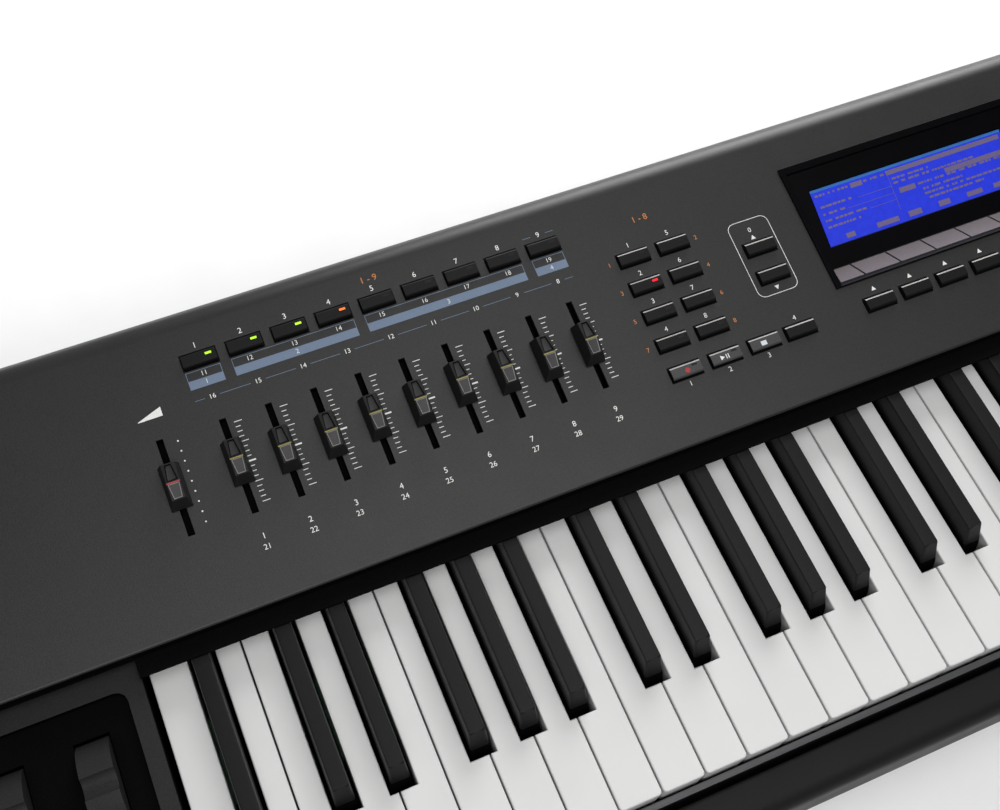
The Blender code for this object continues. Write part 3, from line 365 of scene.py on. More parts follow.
finishes = {
    # Near-black painted shade on the panel's lip and ledge, the wheel well, the sharps' lower part and the
    # fader windows' borders; also the plain finish of the panel board inside
    "shadeAndBoardBlack": {"colour": (0.0018, 0.0018, 0.0019), "spread": 0.3, "grain": 0.0008, "rough": 0.7,
                   "bump": 0.2, "specular": 0.03},
    "panelPaint": {"colour": (0.0182, 0.0185, 0.0181), "spread": 0.22, "rough": 0.37,
                   "bump": 0.30, "specular": 0.28},
    "slipPaint": {"colour": (0.0085, 0.0086, 0.0085), "spread": 0.20, "rough": 0.48,
                  "bump": 0.25, "specular": 0.12},
    "platePaint": {"colour": (0.0150, 0.0151, 0.0150), "spread": 0.20, "rough": 0.45,
                   "bump": 0.25, "specular": 0.20},
    "panPaint": {"colour": (0.022, 0.022, 0.022), "spread": 0.3, "grain": 0.0012, "rough": 0.6, "bump": 0.4},
    "whiteKey": {"colour": (0.61, 0.61, 0.605), "spread": 0.012, "grain": 0.03, "rough": 0.42,
                 "specular": 0.25},
    "blackKey": {"colour": (0.0068, 0.0068, 0.0070), "spread": 0.2, "rough": 0.42,
                 "bump": 0.10, "specular": 0.16},
    "buttonBlack": {"colour": (0.0050, 0.0050, 0.0051), "spread": 0.2, "grain": 0.0005, "rough": 0.45,
                    "bump": 0.12, "specular": 0.14},
    "transportGrey": {"colour": (0.046, 0.046, 0.047), "grain": 0.0005, "rough": 0.45,
                      "bump": 0.12, "specular": 0.25},
    # Light colour painted on the button caps' rear bevels as a highlight
    "paintedEdgeHighlight": {"colour": (0.27, 0.25, 0.25), "spread": 0.08, "grain": 0.0008, "rough": 0.4},
    "faderBlack": {"colour": (0.0120, 0.0120, 0.0120), "spread": 0.2, "grain": 0.0005, "rough": 0.48,
                   "bump": 0.15, "specular": 0.15},
    "faderWindow": {"colour": (0.024, 0.024, 0.024), "spread": 0.12, "rough": 0.5, "specular": 0.2},
    "faderFront": {"colour": (0.022, 0.019, 0.020), "spread": 0.12, "rough": 0.36, "specular": 0.3},
    # Light colour painted on the rim of the caps' front shields as a highlight
    "faderRim": {"colour": (0.15, 0.14, 0.14), "spread": 0.12, "rough": 0.45},
    "indexOlive": {"colour": (0.21, 0.19, 0.04), "spread": 0.1, "grain": 0.001, "rough": 0.5},
    "indexRed": {"colour": (0.33, 0.030, 0.040), "spread": 0.1, "grain": 0.001, "rough": 0.5},
    "wheelRubber": {"colour": (0.014, 0.014, 0.014), "spread": 0.25, "rough": 0.6,
                    "bump": 0.3, "specular": 0.2},
    "dataBlack": {"colour": (0.014, 0.014, 0.014), "spread": 0.2, "rough": 0.45,
                  "bump": 0.12, "specular": 0.25},
    "bezelGloss": {"colour": (0.0016, 0.0016, 0.0022), "spread": 0.1, "grain": 0.003, "rough": 0.30,
                   "specular": 0.04},
    "padMauve": {"colour": (0.098, 0.080, 0.088), "spread": 0.08, "grain": 0.0008, "rough": 0.5,
                 "bump": 0.1, "specular": 0.3},
    "whiteInk": {"colour": (0.70, 0.70, 0.68), "spread": 0.06, "rough": 0.55},
    "blueInk": {"colour": (0.120, 0.165, 0.245), "spread": 0.06, "rough": 0.55},
    "orangeInk": {"colour": (0.45, 0.155, 0.035), "spread": 0.06, "rough": 0.55},
    "paleInk": {"colour": (0.58, 0.61, 0.64), "spread": 0.06, "rough": 0.55},
    "redInk": {"colour": (0.33, 0.012, 0.016), "spread": 0.06, "rough": 0.5},
    "lampDark": {"colour": (0.006, 0.005, 0.005), "spread": 0.1, "grain": 0.0005, "rough": 0.3,
                 "specular": 0.2},
    "nickel": {"colour": (0.62, 0.60, 0.56), "spread": 0.06, "grain": 0.0012, "rough": 0.28, "metal": 1},
    "screwSteel": {"colour": (0.16, 0.16, 0.165), "grain": 0.0008, "rough": 0.35, "metal": 1},
    "footRubber": {"colour": (0.016, 0.016, 0.016), "spread": 0.25, "grain": 0.001, "rough": 0.85,
                   "bump": 0.4},
    "bedMetal": {"colour": (0.07, 0.07, 0.073), "spread": 0.1, "grain": 0.002, "rough": 0.45, "metal": 0.6,
                 "stretch": (0.05, 1, 1)},
    "boardGreen": {"colour": (0.02, 0.13, 0.055), "spread": 0.35, "grain": 0.003, "rough": 0.4,
                   "stretch": (1, 0.3, 1)},
    "supplySteel": {"colour": (0.50, 0.50, 0.51), "spread": 0.08, "grain": 0.0012, "rough": 0.35,
                    "metal": 1, "stretch": (0.1, 1, 1)},
    "socketBlack": {"colour": (0.010, 0.010, 0.010), "spread": 0.2, "grain": 0.0008, "rough": 0.5,
                    "bump": 0.15, "specular": 0.3},
    "screenBar": {"colour": (0.125, 0.095, 0.200), "spread": 0.06, "grain": 0.001, "rough": 0.4},
}
materials = {name: finishOf(name, look) for name, look in finishes.items()}
# Colour, strength and roughness of what shines
glows = {
    "screenBlue": ((0.0165, 0.034, 0.56), 0.25, 0.35),
    "screenTop": ((0.028, 0.120, 0.38), 0.25, 0.35),
    "lampGreen": ((0.40, 0.78, 0.03), 0.8, 0.3),
    "lampRed": ((0.85, 0.012, 0.025), 0.8, 0.3),
    "lampOrange": ((0.85, 0.16, 0.03), 0.8, 0.3),
}
materials.update({name: glowing(name, *look) for name, look in glows.items()})
print("stage: materials")


# Case: each sheet and casting with its edges eased, in its paint
case = {
    "top_panel": ("panelSkin", "panelPaint", 0.00030),
    "key_slip": ("keySlipCover", "slipPaint", 0.00040),
    "left_cheek": ("leftCheekBlock", "panelPaint", 0.0012),
    "right_cheek": ("rightCheekBlock", "panelPaint", 0.0012),
    "wheel_plate": ("wheelPlateCover", "platePaint", 0.00050),
    "rear_panel": ("rearPlate", "panPaint", 0.00025),
    "bottom_pan": ("bottomPanTray", "panPaint", 0.00040),
}
# Rounding of the panel's front edge, and the heights below which painted shade is put on the lip and in the
# wheel well
panelLip = {"round": 0.0017, "near": 0.0004, "shadeBelow": -0.0010, "wellShadeDrop": 0.0008}
for node, (name, finish, edge) in case.items():
    cover = cadCopy(node, name)
    if node == "top_panel":
        roundEdges(cover, lambda *ends: all(math.hypot(*(flatPlace @ end).yz) < panelLip["near"]
                                            for end in ends), panelLip["round"])
    eased(cover, edge, 2, 40)
    dressed(cover, finish, "shadeAndBoardBlack")
    if node == "top_panel":
        # The face below the panel's front edge and the ledge over the keys are painted near-black as shade
        paintFaces(cover, 1, lambda centre, normal: ((flatPlace @ centre).y < panelLip["near"]
                                                     and (flatPlace @ centre).z < panelLip["shadeBelow"]))
    if node == "wheel_plate":
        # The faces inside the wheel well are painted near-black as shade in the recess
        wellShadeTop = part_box(node)[1].z - panelLip["wellShadeDrop"]
        paintFaces(cover, 1, lambda centre, normal: centre.z < wellShadeTop)
    finished(smoothed(cover), name, "case", "pan_paint" if finish == "panPaint" else "panel_paint", node)

# What is inside keeps its solid and gets its own finish
inside = {"keybed_frame": "bedMetal", "contact_board": "boardGreen", "panel_board": "shadeAndBoardBlack",
          "main_board": "socketBlack", "power_supply": "supplySteel", "display_module": "socketBlack"}
for node, finish in inside.items():
    dressed(nodes[node], finish)
print("stage: case")


# Feet
feet = {"edge": 0.0006, "names": ("foot_front_left", "foot_front_right", "foot_rear_left", "foot_rear_right")}
for node in feet["names"]:
    pad = eased(cadCopy(node, node + "Pad"), feet["edge"], 2, 30)
    dressed(pad, "footRubber")
    finished(smoothed(pad, 50), "rubber" + node.title().replace("_", ""), "case", "foot_rubber", node)


# Keys: the naturals' tops get a round rim, the sharps a long front slope, round edges and a lower part
# painted black as shade
keys = {"naturalTop": 0.0800, "naturalRim": 0.0008, "naturalEdge": 0.0004, "sharpEdge": 0.0005,
        "slopeFoot": (-0.0907, 0.0800), "slopeTop": (-0.0842, 0.0960), "capNarrow": 0.90, "capAbove": 0.085,
        "capRear": 0.0095, "frontRound": 0.0013, "shadeTop": 0.0797, "split": 0.0135, "combs": 7}


def shapeNaturals(comb):
    roundRim(comb, lambda centre, normal: normal.z > 0.99 and abs(centre.z - keys["naturalTop"]) < 0.0003,
             keys["naturalRim"])
    return eased(comb, keys["naturalEdge"], 2, 50)


def sharpMiddles(comb):
    # The middle of each sharp, from the widest points near its front
    places = sorted(vertex.co.x for vertex in comb.data.vertices if vertex.co.y < keys["slopeFoot"][0])
    groups = [[places[0]]]
    for place in places[1:]:
        if place - groups[-1][-1] > keys["split"]:
            groups.append([])
        groups[-1].append(place)
    return [(group[0] + group[-1]) / 2 for group in groups]


def shapeSharps(comb):
    foot, top = keys["slopeFoot"], keys["slopeTop"]
    middles = sharpMiddles(comb)
    for vertex in comb.data.vertices:
        if vertex.co.z > keys["capAbove"] and vertex.co.y < keys["capRear"]:
            middle = min(middles, key=lambda x: abs(x - vertex.co.x))
            vertex.co.x = middle + (vertex.co.x - middle) * keys["capNarrow"]
    places = [vertex.co.x for vertex in comb.data.vertices]
    wedge = addBlock("wedge", (min(places) - 0.002, foot[0] - 0.01, foot[1]),
                     (max(places) + 0.002, foot[0], top[1]))
    for vertex in wedge.data.vertices:
        if vertex.co.y > foot[0] - 0.001 and vertex.co.z > foot[1] + 0.001:
            vertex.co.y = top[0]
    applied(comb, "BOOLEAN", object=wedge, operation="DIFFERENCE", solver="EXACT")
    discard(wedge)
    roundEdges(comb, lambda first, second: (max(first.y, second.y) < top[0] + 0.001
                                            and min(first.z, second.z) > foot[1] - 0.0001
                                            and abs(first.x - second.x) < 0.0015), keys["frontRound"])
    eased(comb, keys["sharpEdge"], 3, 35)
    # Each sharp is split at a height, and the part below it is painted near-black as shade between the
    # naturals
    editAll(comb, lambda: bpy.ops.mesh.bisect(plane_co=(0, 0, keys["shadeTop"]), plane_no=(0, 0, 1)))
    paintFaces(comb, 1, lambda centre, normal: centre.z < keys["shadeTop"])
    return comb


for octave in range(1, keys["combs"] + 1):
    for comb, finish, shape, slotName in (("keys_c_e_g_b", "whiteKey", shapeNaturals, "natural_keys"),
                                          ("keys_d_f_a", "whiteKey", shapeNaturals, "natural_keys"),
                                          ("keys_sharp", "blackKey", shapeSharps, "sharp_keys")):
        node = f"{comb}_{octave}"
        pieceName = "comb" + node.title().replace("_", "")
        shaped = dressed(shape(cadCopy(node, pieceName)), finish, "shadeAndBoardBlack")
        finished(smoothed(shaped, 40), pieceName, node, slotName, node)
print("stage: keys")


# Thumb wheels and data wheel: name, finish, rounding, the least angle rounded and the least angle kept sharp
wheels = {
    "pitch_wheel": ("pitchWheelRubber", "wheelRubber", 0.0010, 40, 45),
    "mod_wheel": ("modWheelRubber", "wheelRubber", 0.0010, 40, 45),
    "data_wheel": ("dataDial", "dataBlack", 0.0006, 25, 50),
}
for node, (name, finish, edge, least, sharp) in wheels.items():
    wheel = eased(cadCopy(node, name), edge, 3, least)
    dressed(wheel, finish)
    finished(smoothed(wheel, sharp), name, node, "controls", node)


# Buttons. The bevelled rear edge of most caps is painted light as a thin highlight line
buttons = {"edge": 0.00012, "tilt": 0.35, "flat": 0.2, "low": 0.0012,
           "groups": ("bank", "mode", "transport", "channel", "soft", "cursor", "number")}


def rearHighlightBevel(centre, normal):
    local = flatPlace.to_3x3() @ normal
    height = (flatPlace @ centre).z
    return local.y > buttons["tilt"] and local.z > buttons["tilt"] and height > buttons["low"]


def capTopFace(centre, normal):
    local = flatPlace.to_3x3() @ normal
    return local.z > buttons["flat"] and (flatPlace @ centre).z > buttons["low"]


for group in buttons["groups"]:
    node, name = group + "_buttons", group + "Caps"
    caps = eased(cadCopy(node, name), buttons["edge"], 1, 20)
    dressed(caps, "buttonBlack", "transportGrey")
    if node != "bank_buttons":
        caps.data.materials.append(materials["paintedEdgeHighlight"])
        # The rear bevel faces are painted light as a highlight
        paintFaces(caps, 2, rearHighlightBevel)
    if node == "transport_buttons":
        greyEnd = panelStart.x + (transportColumns[2] + channelColumn) / 2
        paintFaces(caps, 1, lambda centre, normal: (centre.x < greyEnd and capTopFace(centre, normal)
                                                    and not rearHighlightBevel(centre, normal)))
    finished(smoothed(caps), name, node, "buttons", node)
print("stage: buttons")


# Fader caps: one is shaped on the first fader, then copied to the rest with its own index line
faderCap = {"ease": 0.00035, "indexHalf": 0.0035, "indexDepth": 0.0007, "indexFoot": 0.0096,
            "indexTop": 0.01112, "slopeFoot": 0.008, "slopeHalf": 0.0006, "slopeFront": 0.003,
            "slopeMiddle": 0.005, "slopeRear": 0.0075, "wall": 0.00006}
# The rear slope has a sunk window whose border is painted black as shade, the front one a paler shield whose
# rim is painted light as a highlight
faderSlopes = [
    {"side": 1, "border": 0.00045, "near": 0.0010, "narrow": 0.60, "sink": 0.0006, "rim": 3,
     "rimWidth": 0.00045, "face": 1},
    {"side": -1, "border": 0.00030, "near": 0.0005, "narrow": 0.72, "sink": 0.00015, "rim": 4,
     "rimWidth": 0.00032, "face": 2},
]


def middleOnPanel(node):
    points = [flatPlace @ vertex.co for vertex in nodes[node].data.vertices]
    return [(min(point[axis] for point in points) + max(point[axis] for point in points)) / 2
            for axis in (0, 1)]


def shapeFaderCap():
    cap = cadCopy("fader_1", "capPattern")
    x, v = middleOnPanel("fader_1")
    cap.data.transform(Matrix.Translation((-x, -v, 0)) @ flatPlace)
    eased(cap, faderCap["ease"], 2, 40)
    for look in faderSlopes:
        side = look["side"]

        def slopeFace(centre, normal):
            return (normal.z > 0.7 and centre.z > faderCap["slopeFoot"]
                    and abs(centre.x) < faderCap["slopeHalf"]
                    and faderCap["slopeFront"] < centre.y * side < faderCap["slopeRear"])

        editFaces(cap, slopeFace, lambda: bpy.ops.mesh.inset(thickness=look["border"], depth=0))
        for face in cap.data.polygons:
            if slopeFace(face.center, face.normal):
                for index in face.vertices:
                    point = cap.data.vertices[index].co
                    if point.y * side > faderCap["slopeMiddle"]:
                        point.x *= look["narrow"]
                    else:
                        point.y = look["near"] * side
        cap.data.update()
        # The ring round each slope is painted: near-black as shade round the rear window, light as a
        # highlight round the front shield
        paintFaces(cap, look["rim"], slopeFace)
        editFaces(cap, slopeFace, lambda: bpy.ops.mesh.inset(thickness=look["rimWidth"], depth=0),
                  lambda: bpy.ops.mesh.inset(thickness=faderCap["wall"], depth=-look["sink"]))
        paintFaces(cap, look["face"], slopeFace)
    return cap


capPattern = shapeFaderCap()
for index, column in enumerate([masterColumn] + faderColumns):
    node = "master_fader" if index == 0 else f"fader_{index}"
    pieceName = "masterFaderCap" if index == 0 else f"faderCap{index}"
    middle = Matrix.Translation((*middleOnPanel(node), 0))
    cap = copyOf(capPattern, pieceName)
    dressed(cap, "faderBlack", "faderWindow", "faderFront", "shadeAndBoardBlack", "faderRim")
    finished(smoothed(cap, 30), pieceName, node, "controls", node, place=panelPlace @ middle)
    line = addBlock(pieceName + "Index", (-faderCap["indexHalf"], -faderCap["indexDepth"] / 2,
                                          faderCap["indexFoot"]),
                    (faderCap["indexHalf"], faderCap["indexDepth"] / 2, faderCap["indexTop"]))
    added(eased(line, 0.0001, 1), pieceName + "Index", "indexRed" if index == 0 else "indexOlive", node,
          "controls", panelPlace @ middle)
discard(capPattern)
print("stage: faders")


# Display: glossy window, backlit glass on its sloping floor, pads on the ramp
window = eased(cadCopy("display_window", "displayBezel"), 0.0004, 3, 35)
dressed(window, "bezelGloss")
finished(smoothed(window), "displayBezel", "case", "window_plastic", "display_window")

display = {"left": 0.4189, "right": 0.5809, "rampStart": 0.0570, "rampEnd": 0.0696, "depth": 0.0115,
           "backV": 0.1289, "backDepth": 0.0006}
floorTilt = math.atan2(display["depth"] - display["backDepth"], display["backV"] - display["rampEnd"])
displayMiddle = (display["left"] + display["right"]) / 2
floorPlace = (panelPlace @ Matrix.Translation((displayMiddle, display["rampEnd"], -display["depth"]))
              @ Matrix.Rotation(floorTilt, 4, "X"))
screen = {"half": 0.0664, "front": 0.0127, "rear": 0.0475, "drop": 0.0005, "thick": 0.0018}
glass = addBlock("screenGlass", (-screen["half"], screen["front"], -screen["thick"]),
                 (screen["half"], screen["rear"], -screen["drop"]))
added(eased(glass, 0.0001, 1), "screenGlass", "screenBlue", slotName="display_glass", place=floorPlace)


def screenBars(name, finish, bars, rise=printRise):
    # Each bar is its left and front, from the glass's left rear corner, its width and its depth
    level = -screen["drop"]
    pieces = [addBlock(name, (left + x, top - down, level),
                       (left + x + width, top - down + depth, level + rise))
              for x, down, width, depth in bars]
    return added(joined(name, pieces), name, finish, slotName="display_glass", place=floorPlace)


# Plain bars stand for the lines of words, beside thin rules and filled fields
left, top = -screen["half"], screen["rear"]
topLine = 0.0016
screenBars("screenTopLine", "screenTop", [(0, topLine, screen["half"] * 2, topLine)])
wordLook = {"tall": 0.0013, "short": 0.0009, "long": 0.0042, "gaps": (0.0006, 0.0006, 0.0022), "least": 0.002}


def wordRow(start, stop, down):
    x = start
    row = []
    while x < stop - wordLook["least"]:
        width = min(random.uniform(wordLook["short"], wordLook["long"]), stop - x)
        row.append((x, down + wordLook["tall"], width, wordLook["tall"]))
        x += width + random.choice(wordLook["gaps"])
    return row


words = []
for start, stop, down in ((0.002, 0.025, 0.0034), (0.035, 0.049, 0.0034), (0.003, 0.027, 0.0105),
                          (0.003, 0.018, 0.0150), (0.003, 0.032, 0.0190), (0.003, 0.026, 0.0230),
                          (0.053, 0.082, 0.0075), (0.053, 0.110, 0.0102), (0.068, 0.130, 0.0152),
                          (0.070, 0.100, 0.0190), (0.070, 0.128, 0.0220), (0.072, 0.112, 0.0250)):
    words += wordRow(start, stop, down)
screenBars("screenWords", "screenBar", words)
screenBars("screenRules", "screenBar",
           [(0.0510, 0.0270, 0.00025, 0.0210), (0.0280, 0.0122, 0.0230, 0.0002),
            (0.0190, 0.0165, 0.0320, 0.0002), (0.0330, 0.0206, 0.0180, 0.0002)], printRise * 1.2)
screenBars("screenFields", "screenBar",
           [(0.0260, 0.0058, 0.0080, 0.0030), (0.0505, 0.0054, 0.0800, 0.0028),
            (0.0550, 0.0178, 0.0110, 0.0032), (0.0880, 0.0150, 0.0400, 0.0030),
            (0.0120, 0.0330, 0.0060, 0.0030), (0.0330, 0.0330, 0.0150, 0.0030),
            (0.0550, 0.0330, 0.0090, 0.0034), (0.0760, 0.0330, 0.0080, 0.0034),
            (0.0960, 0.0330, 0.0110, 0.0030), (0.1150, 0.0330, 0.0120, 0.0030)], printRise * 1.4)

# Pads on the ramp, split at the soft buttons' columns
rampAngle = math.atan2(display["depth"], display["rampEnd"] - display["rampStart"])
rampPlace = (panelPlace @ Matrix.Translation((0, display["rampStart"], 0))
             @ Matrix.Rotation(-rampAngle, 4, "X"))
rampLength = math.hypot(display["depth"], display["rampEnd"] - display["rampStart"])
padRows = {"gap": 0.0005, "end": 0.0042, "front": 0.0010, "rear": 0.0012, "sink": 0.0002, "rise": 0.0005,
           "cut": 0.0050, "edge": 0.0003}
padEdges = [display["left"] + padRows["end"]] + softColumns + [display["right"] - padRows["end"]]
pads = []
for first, second in zip(padEdges, padEdges[1:]):
    pad = addBlock("pad", (first + padRows["gap"], padRows["front"], -padRows["sink"]),
                   (second - padRows["gap"], rampLength - padRows["rear"], padRows["rise"]))
    for vertex in pad.data.vertices:
        # The two end pads are cut slanting at the rear
        if vertex.co.y > rampLength / 2:
            if first == padEdges[0] and vertex.co.x < first + padRows["gap"] * 2:
                vertex.co.x += padRows["cut"]
            if second == padEdges[-1] and vertex.co.x > second - padRows["gap"] * 2:
                vertex.co.x -= padRows["cut"]
    pads.append(eased(pad, padRows["edge"], 2))
added(smoothed(joined("rampPads", pads)), "rampPads", "padMauve", slotName="window_plastic",
      place=rampPlace)
print("stage: display")


# Print on the panel: plain numerals, ticks, dots and boxes, each a thin raised shape
numeralMeshes = {}


def numeralMesh(text, size):
    key = (text, size)
    if key not in numeralMeshes:
        deselectAll()
        bpy.ops.object.text_add(location=(0, 0, 0))
        written = bpy.context.object
        written.data.body = text
        written.data.size = size
        written.data.align_x = "CENTER"
        written.data.align_y = "CENTER"
        written.data.extrude = printRise / 2
        written.data.resolution_u = 3
        bpy.ops.object.convert(target="MESH")
        numeralMeshes[key] = written.data.copy()
        discard(written)
    return numeralMeshes[key]


def writtenAt(name, marks, finish, slotName="panel_paint", place=panelPlace, level=printRise / 2):
    # marks holds text, size, x and v
    pieces = []
    for text, size, x, v in marks:
        mark = newPiece(name, numeralMesh(text, size).copy())
        mark.data.transform(Matrix.Translation((x, v, level)))
        pieces.append(mark)
    return added(joined(name, pieces), name, finish, slotName=slotName, place=place)


def barsAt(name, bars, finish):
    # bars holds left, front, right and rear
    pieces = [addBlock(name, (x1, v1, 0), (x2, v2, printRise)) for x1, v1, x2, v2 in bars]
    return added(joined(name, pieces), name, finish)


def boxOutline(name, low, high, corner, line):
    deselectAll()
    bpy.ops.mesh.primitive_plane_add(size=1, location=((low[0] + high[0]) / 2, (low[1] + high[1]) / 2, 0))
    bpy.context.object.scale = (high[0] - low[0], high[1] - low[1], 1)
    outline = settled(name)
    editAll(outline, lambda: bpy.ops.mesh.bevel(offset=corner, segments=4, affect="VERTICES"),
            lambda: bpy.ops.mesh.select_all(action="SELECT"),
            lambda: bpy.ops.mesh.inset(thickness=line, depth=0),
            lambda: bpy.ops.mesh.delete(type="FACE"))
    return applied(outline, "SOLIDIFY", thickness=printRise, offset=1)


labels = {"heading": 0.0052, "numeral": 0.0044, "small": 0.0041, "side": 0.0037, "rear": 0.0050,
          "above": 0.0081}


def counted(start, kind, columns, v, step=1):
    # Numerals that count along a row
    return [(str(start + index * step), labels[kind], x, v) for index, x in enumerate(columns)]


bank = {"numeralRow": 0.1410, "boxRow": 0.1250, "bandRow": 0.1202, "half": 0.0093, "front": 0.1178,
        "middle": 0.1226, "rear": 0.1274, "corner": 0.0002, "groups": ((0, 0), (1, 3), (4, 7), (8, 8)),
        "line": 0.00030}
lastLine = {"away": 0.0068, "half": 0.0024, "thin": 0.00014}
writtenAt("bankNumerals", counted(1, "numeral", bankColumns, bank["numeralRow"]), "whiteInk")
lineMiddles = [bankColumns[-1] + side * lastLine["away"] for side in (-1, 1)]
barsAt("lastBankLines", [(x - lastLine["half"], bank["numeralRow"] - lastLine["thin"],
                          x + lastLine["half"], bank["numeralRow"] + lastLine["thin"])
                         for x in lineMiddles], "blueInk")

# Label boxes under the bank row, each with a filled front half
outlines = []
bands = []
for first, last in bank["groups"]:
    x1, x2 = bankColumns[first] - bank["half"], bankColumns[last] + bank["half"]
    outlines.append(boxOutline("bankBox", (x1, bank["front"]), (x2, bank["rear"]), bank["corner"],
                               bank["line"]))
    bands.append((x1 + bank["line"], bank["front"] + bank["line"], x2 - bank["line"], bank["middle"]))
added(joined("bankBoxes", outlines), "bankBoxes", "blueInk")
barsAt("bankBands", bands, "blueInk")
writtenAt("boxNumerals", counted(11, "side", bankColumns, bank["boxRow"]), "whiteInk")
bandMiddles = [(bankColumns[first] + bankColumns[last]) / 2 for first, last in bank["groups"]]
writtenAt("bandNumerals", counted(1, "side", bandMiddles, bank["bandRow"]), "paleInk", level=printRise * 1.6)

# A row of numerals above the faders, joined by thin lines, and two rows below them
ruler = {"row": 0.1115, "gap": 0.0040, "line": 0.00026, "start": 0.0651, "end": 0.2789}
marks = [x + side * ruler["gap"] for x in bankColumns for side in (-1, 1)]
marks = [ruler["start"], *marks, ruler["end"]]
barsAt("rulerLines", [(x1, ruler["row"] - ruler["line"] / 2, x2, ruler["row"] + ruler["line"] / 2)
                      for x1, x2 in zip(marks[::2], marks[1::2])], "blueInk")
writtenAt("rulerNumerals", counted(16, "side", bankColumns, ruler["row"], -1), "whiteInk")
faderRows = {"first": 0.0331, "second": 0.0274}
writtenAt("faderNumerals", counted(1, "numeral", faderColumns, faderRows["first"]), "whiteInk")
writtenAt("faderSecondNumerals", counted(21, "small", faderColumns, faderRows["second"]), "whiteInk")

# Scale beside every slot: seventeen ticks, long at the quarters and bold in the middle
scale = {"count": 17, "middle": 0.0723, "half": 0.0222, "start": 0.0051, "long": 0.0041, "short": 0.0026,
         "line": 0.00036, "bold": 0.00085}
ticks = []
for column in faderColumns:
    for tick in range(scale["count"]):
        v = scale["middle"] + scale["half"] * (2 * tick / (scale["count"] - 1) - 1)
        length = scale["long"] if tick % 4 == 0 else scale["short"]
        line = scale["bold"] if tick == scale["count"] // 2 else scale["line"]
        ticks.append((column + scale["start"], v - line / 2, column + scale["start"] + length, v + line / 2))
barsAt("faderScales", ticks, "whiteInk")
dotRow = {"x": 0.0506, "start": 0.0501, "step": 0.00556, "count": 9, "radius": 0.00045}
dot = addRod("masterDot", (0, 0, printRise / 2), dotRow["radius"], printRise, 16)
dots = repeated("masterDots", dot, [(dotRow["x"], dotRow["start"] + dotRow["step"] * step, 0)
                                    for step in range(dotRow["count"])])
added(dots, "masterDots", "whiteInk")


def prism(name, place, radius, sides, turnBy, level):
    # A flat sign: three sides make an arrow and many a dot
    sign = addRod(name, (0, 0, printRise / 2), radius, printRise, sides)
    sign.data.transform(Matrix.Rotation(math.radians(turnBy), 4, "Z"))
    sign.data.transform(Matrix.Translation((*place, level)))
    return sign


# A growing wedge above the master fader
wedgeSign = {"left": 0.0350, "right": 0.0478, "front": 0.1100, "rear": 0.1150, "tip": 0.1104}
wedge = addBlock("masterWedge", (wedgeSign["left"], wedgeSign["front"], 0),
                 (wedgeSign["right"], wedgeSign["rear"], printRise))
for vertex in wedge.data.vertices:
    if vertex.co.x < masterColumn - 0.002 and vertex.co.y > wedgeSign["tip"] + 0.002:
        vertex.co.y = wedgeSign["tip"]
added(wedge, "masterWedge", "whiteInk")

# Numerals above the mode buttons, with orange ones beside them and over the two blocks
single = {"four": 0.0077, "transport": 0.0075, "zeroRow": 0.1046}
topDown = list(reversed(rows[1:]))
buttonNumerals = [(str(row + 1 + column * 4), labels["small"], x, v + labels["above"])
                  for row, v in enumerate(topDown) for column, x in enumerate(modeColumns)]
buttonNumerals += [("4", labels["small"], channelColumn, lowRow + single["four"])]
buttonNumerals += counted(1, "small", transportColumns, lowRow - single["transport"])
buttonNumerals += [("0", labels["small"], lastCaps, single["zeroRow"])]
writtenAt("buttonNumerals", buttonNumerals, "whiteInk")
beside = {"left": 0.3010, "right": 0.3548, "modeHeading": (0.3289, 0.1319),
          "bankHeading": (0.1723, 0.1467)}
sideNumerals = [(str(row * 2 + 1), labels["side"], beside["left"], v) for row, v in enumerate(topDown)]
sideNumerals += [(str(row * 2 + 2), labels["side"], beside["right"], v) for row, v in enumerate(topDown)]
sideNumerals += [("1 - 8", labels["heading"], *beside["modeHeading"]),
                 ("1 - 9", labels["heading"], *beside["bankHeading"])]
writtenAt("orangeNumerals", sideNumerals, "orangeInk")
padNumerals = [("123456789+0-"[row * 3 + column], labels["small"], x, v + labels["above"])
               for row, v in enumerate(topDown) for column, x in enumerate(numberColumns)]
writtenAt("padNumerals", padNumerals, "whiteInk")
frameLine = {"low": (0.3743, 0.0640), "high": (0.3999, 0.1112), "corner": 0.0045, "line": 0.00034}
added(boxOutline("channelFrame", *frameLine.values()), "channelFrame", "whiteInk")

arrow = {"radius": 0.0017, "gap": 0.0083, "upper": 0.0997, "lower": 0.0679, "smaller": 0.9, "closer": 0.0006}
arrows = [prism("arrow", (lastCaps, arrow["upper"]), arrow["radius"], 3, 0, 0),
          prism("arrow", (lastCaps, arrow["lower"]), arrow["radius"], 3, 180, 0)]
arrows += [prism("arrow", (x, lowRow + arrow["gap"]), arrow["radius"], 3, 0, 0) for x in softColumns]
for (x, v), turnBy in (((cursorColumns[1], rows[4]), 0), ((cursorColumns[0], rows[3]), 90),
                       ((cursorColumns[2], rows[3]), -90), ((cursorColumns[1], rows[2]), 180)):
    arrows.append(prism("arrow", (x, v + arrow["gap"] - arrow["closer"]), arrow["radius"] * arrow["smaller"],
                        3, turnBy, 0))
added(joined("arrows", arrows), "arrows", "whiteInk")

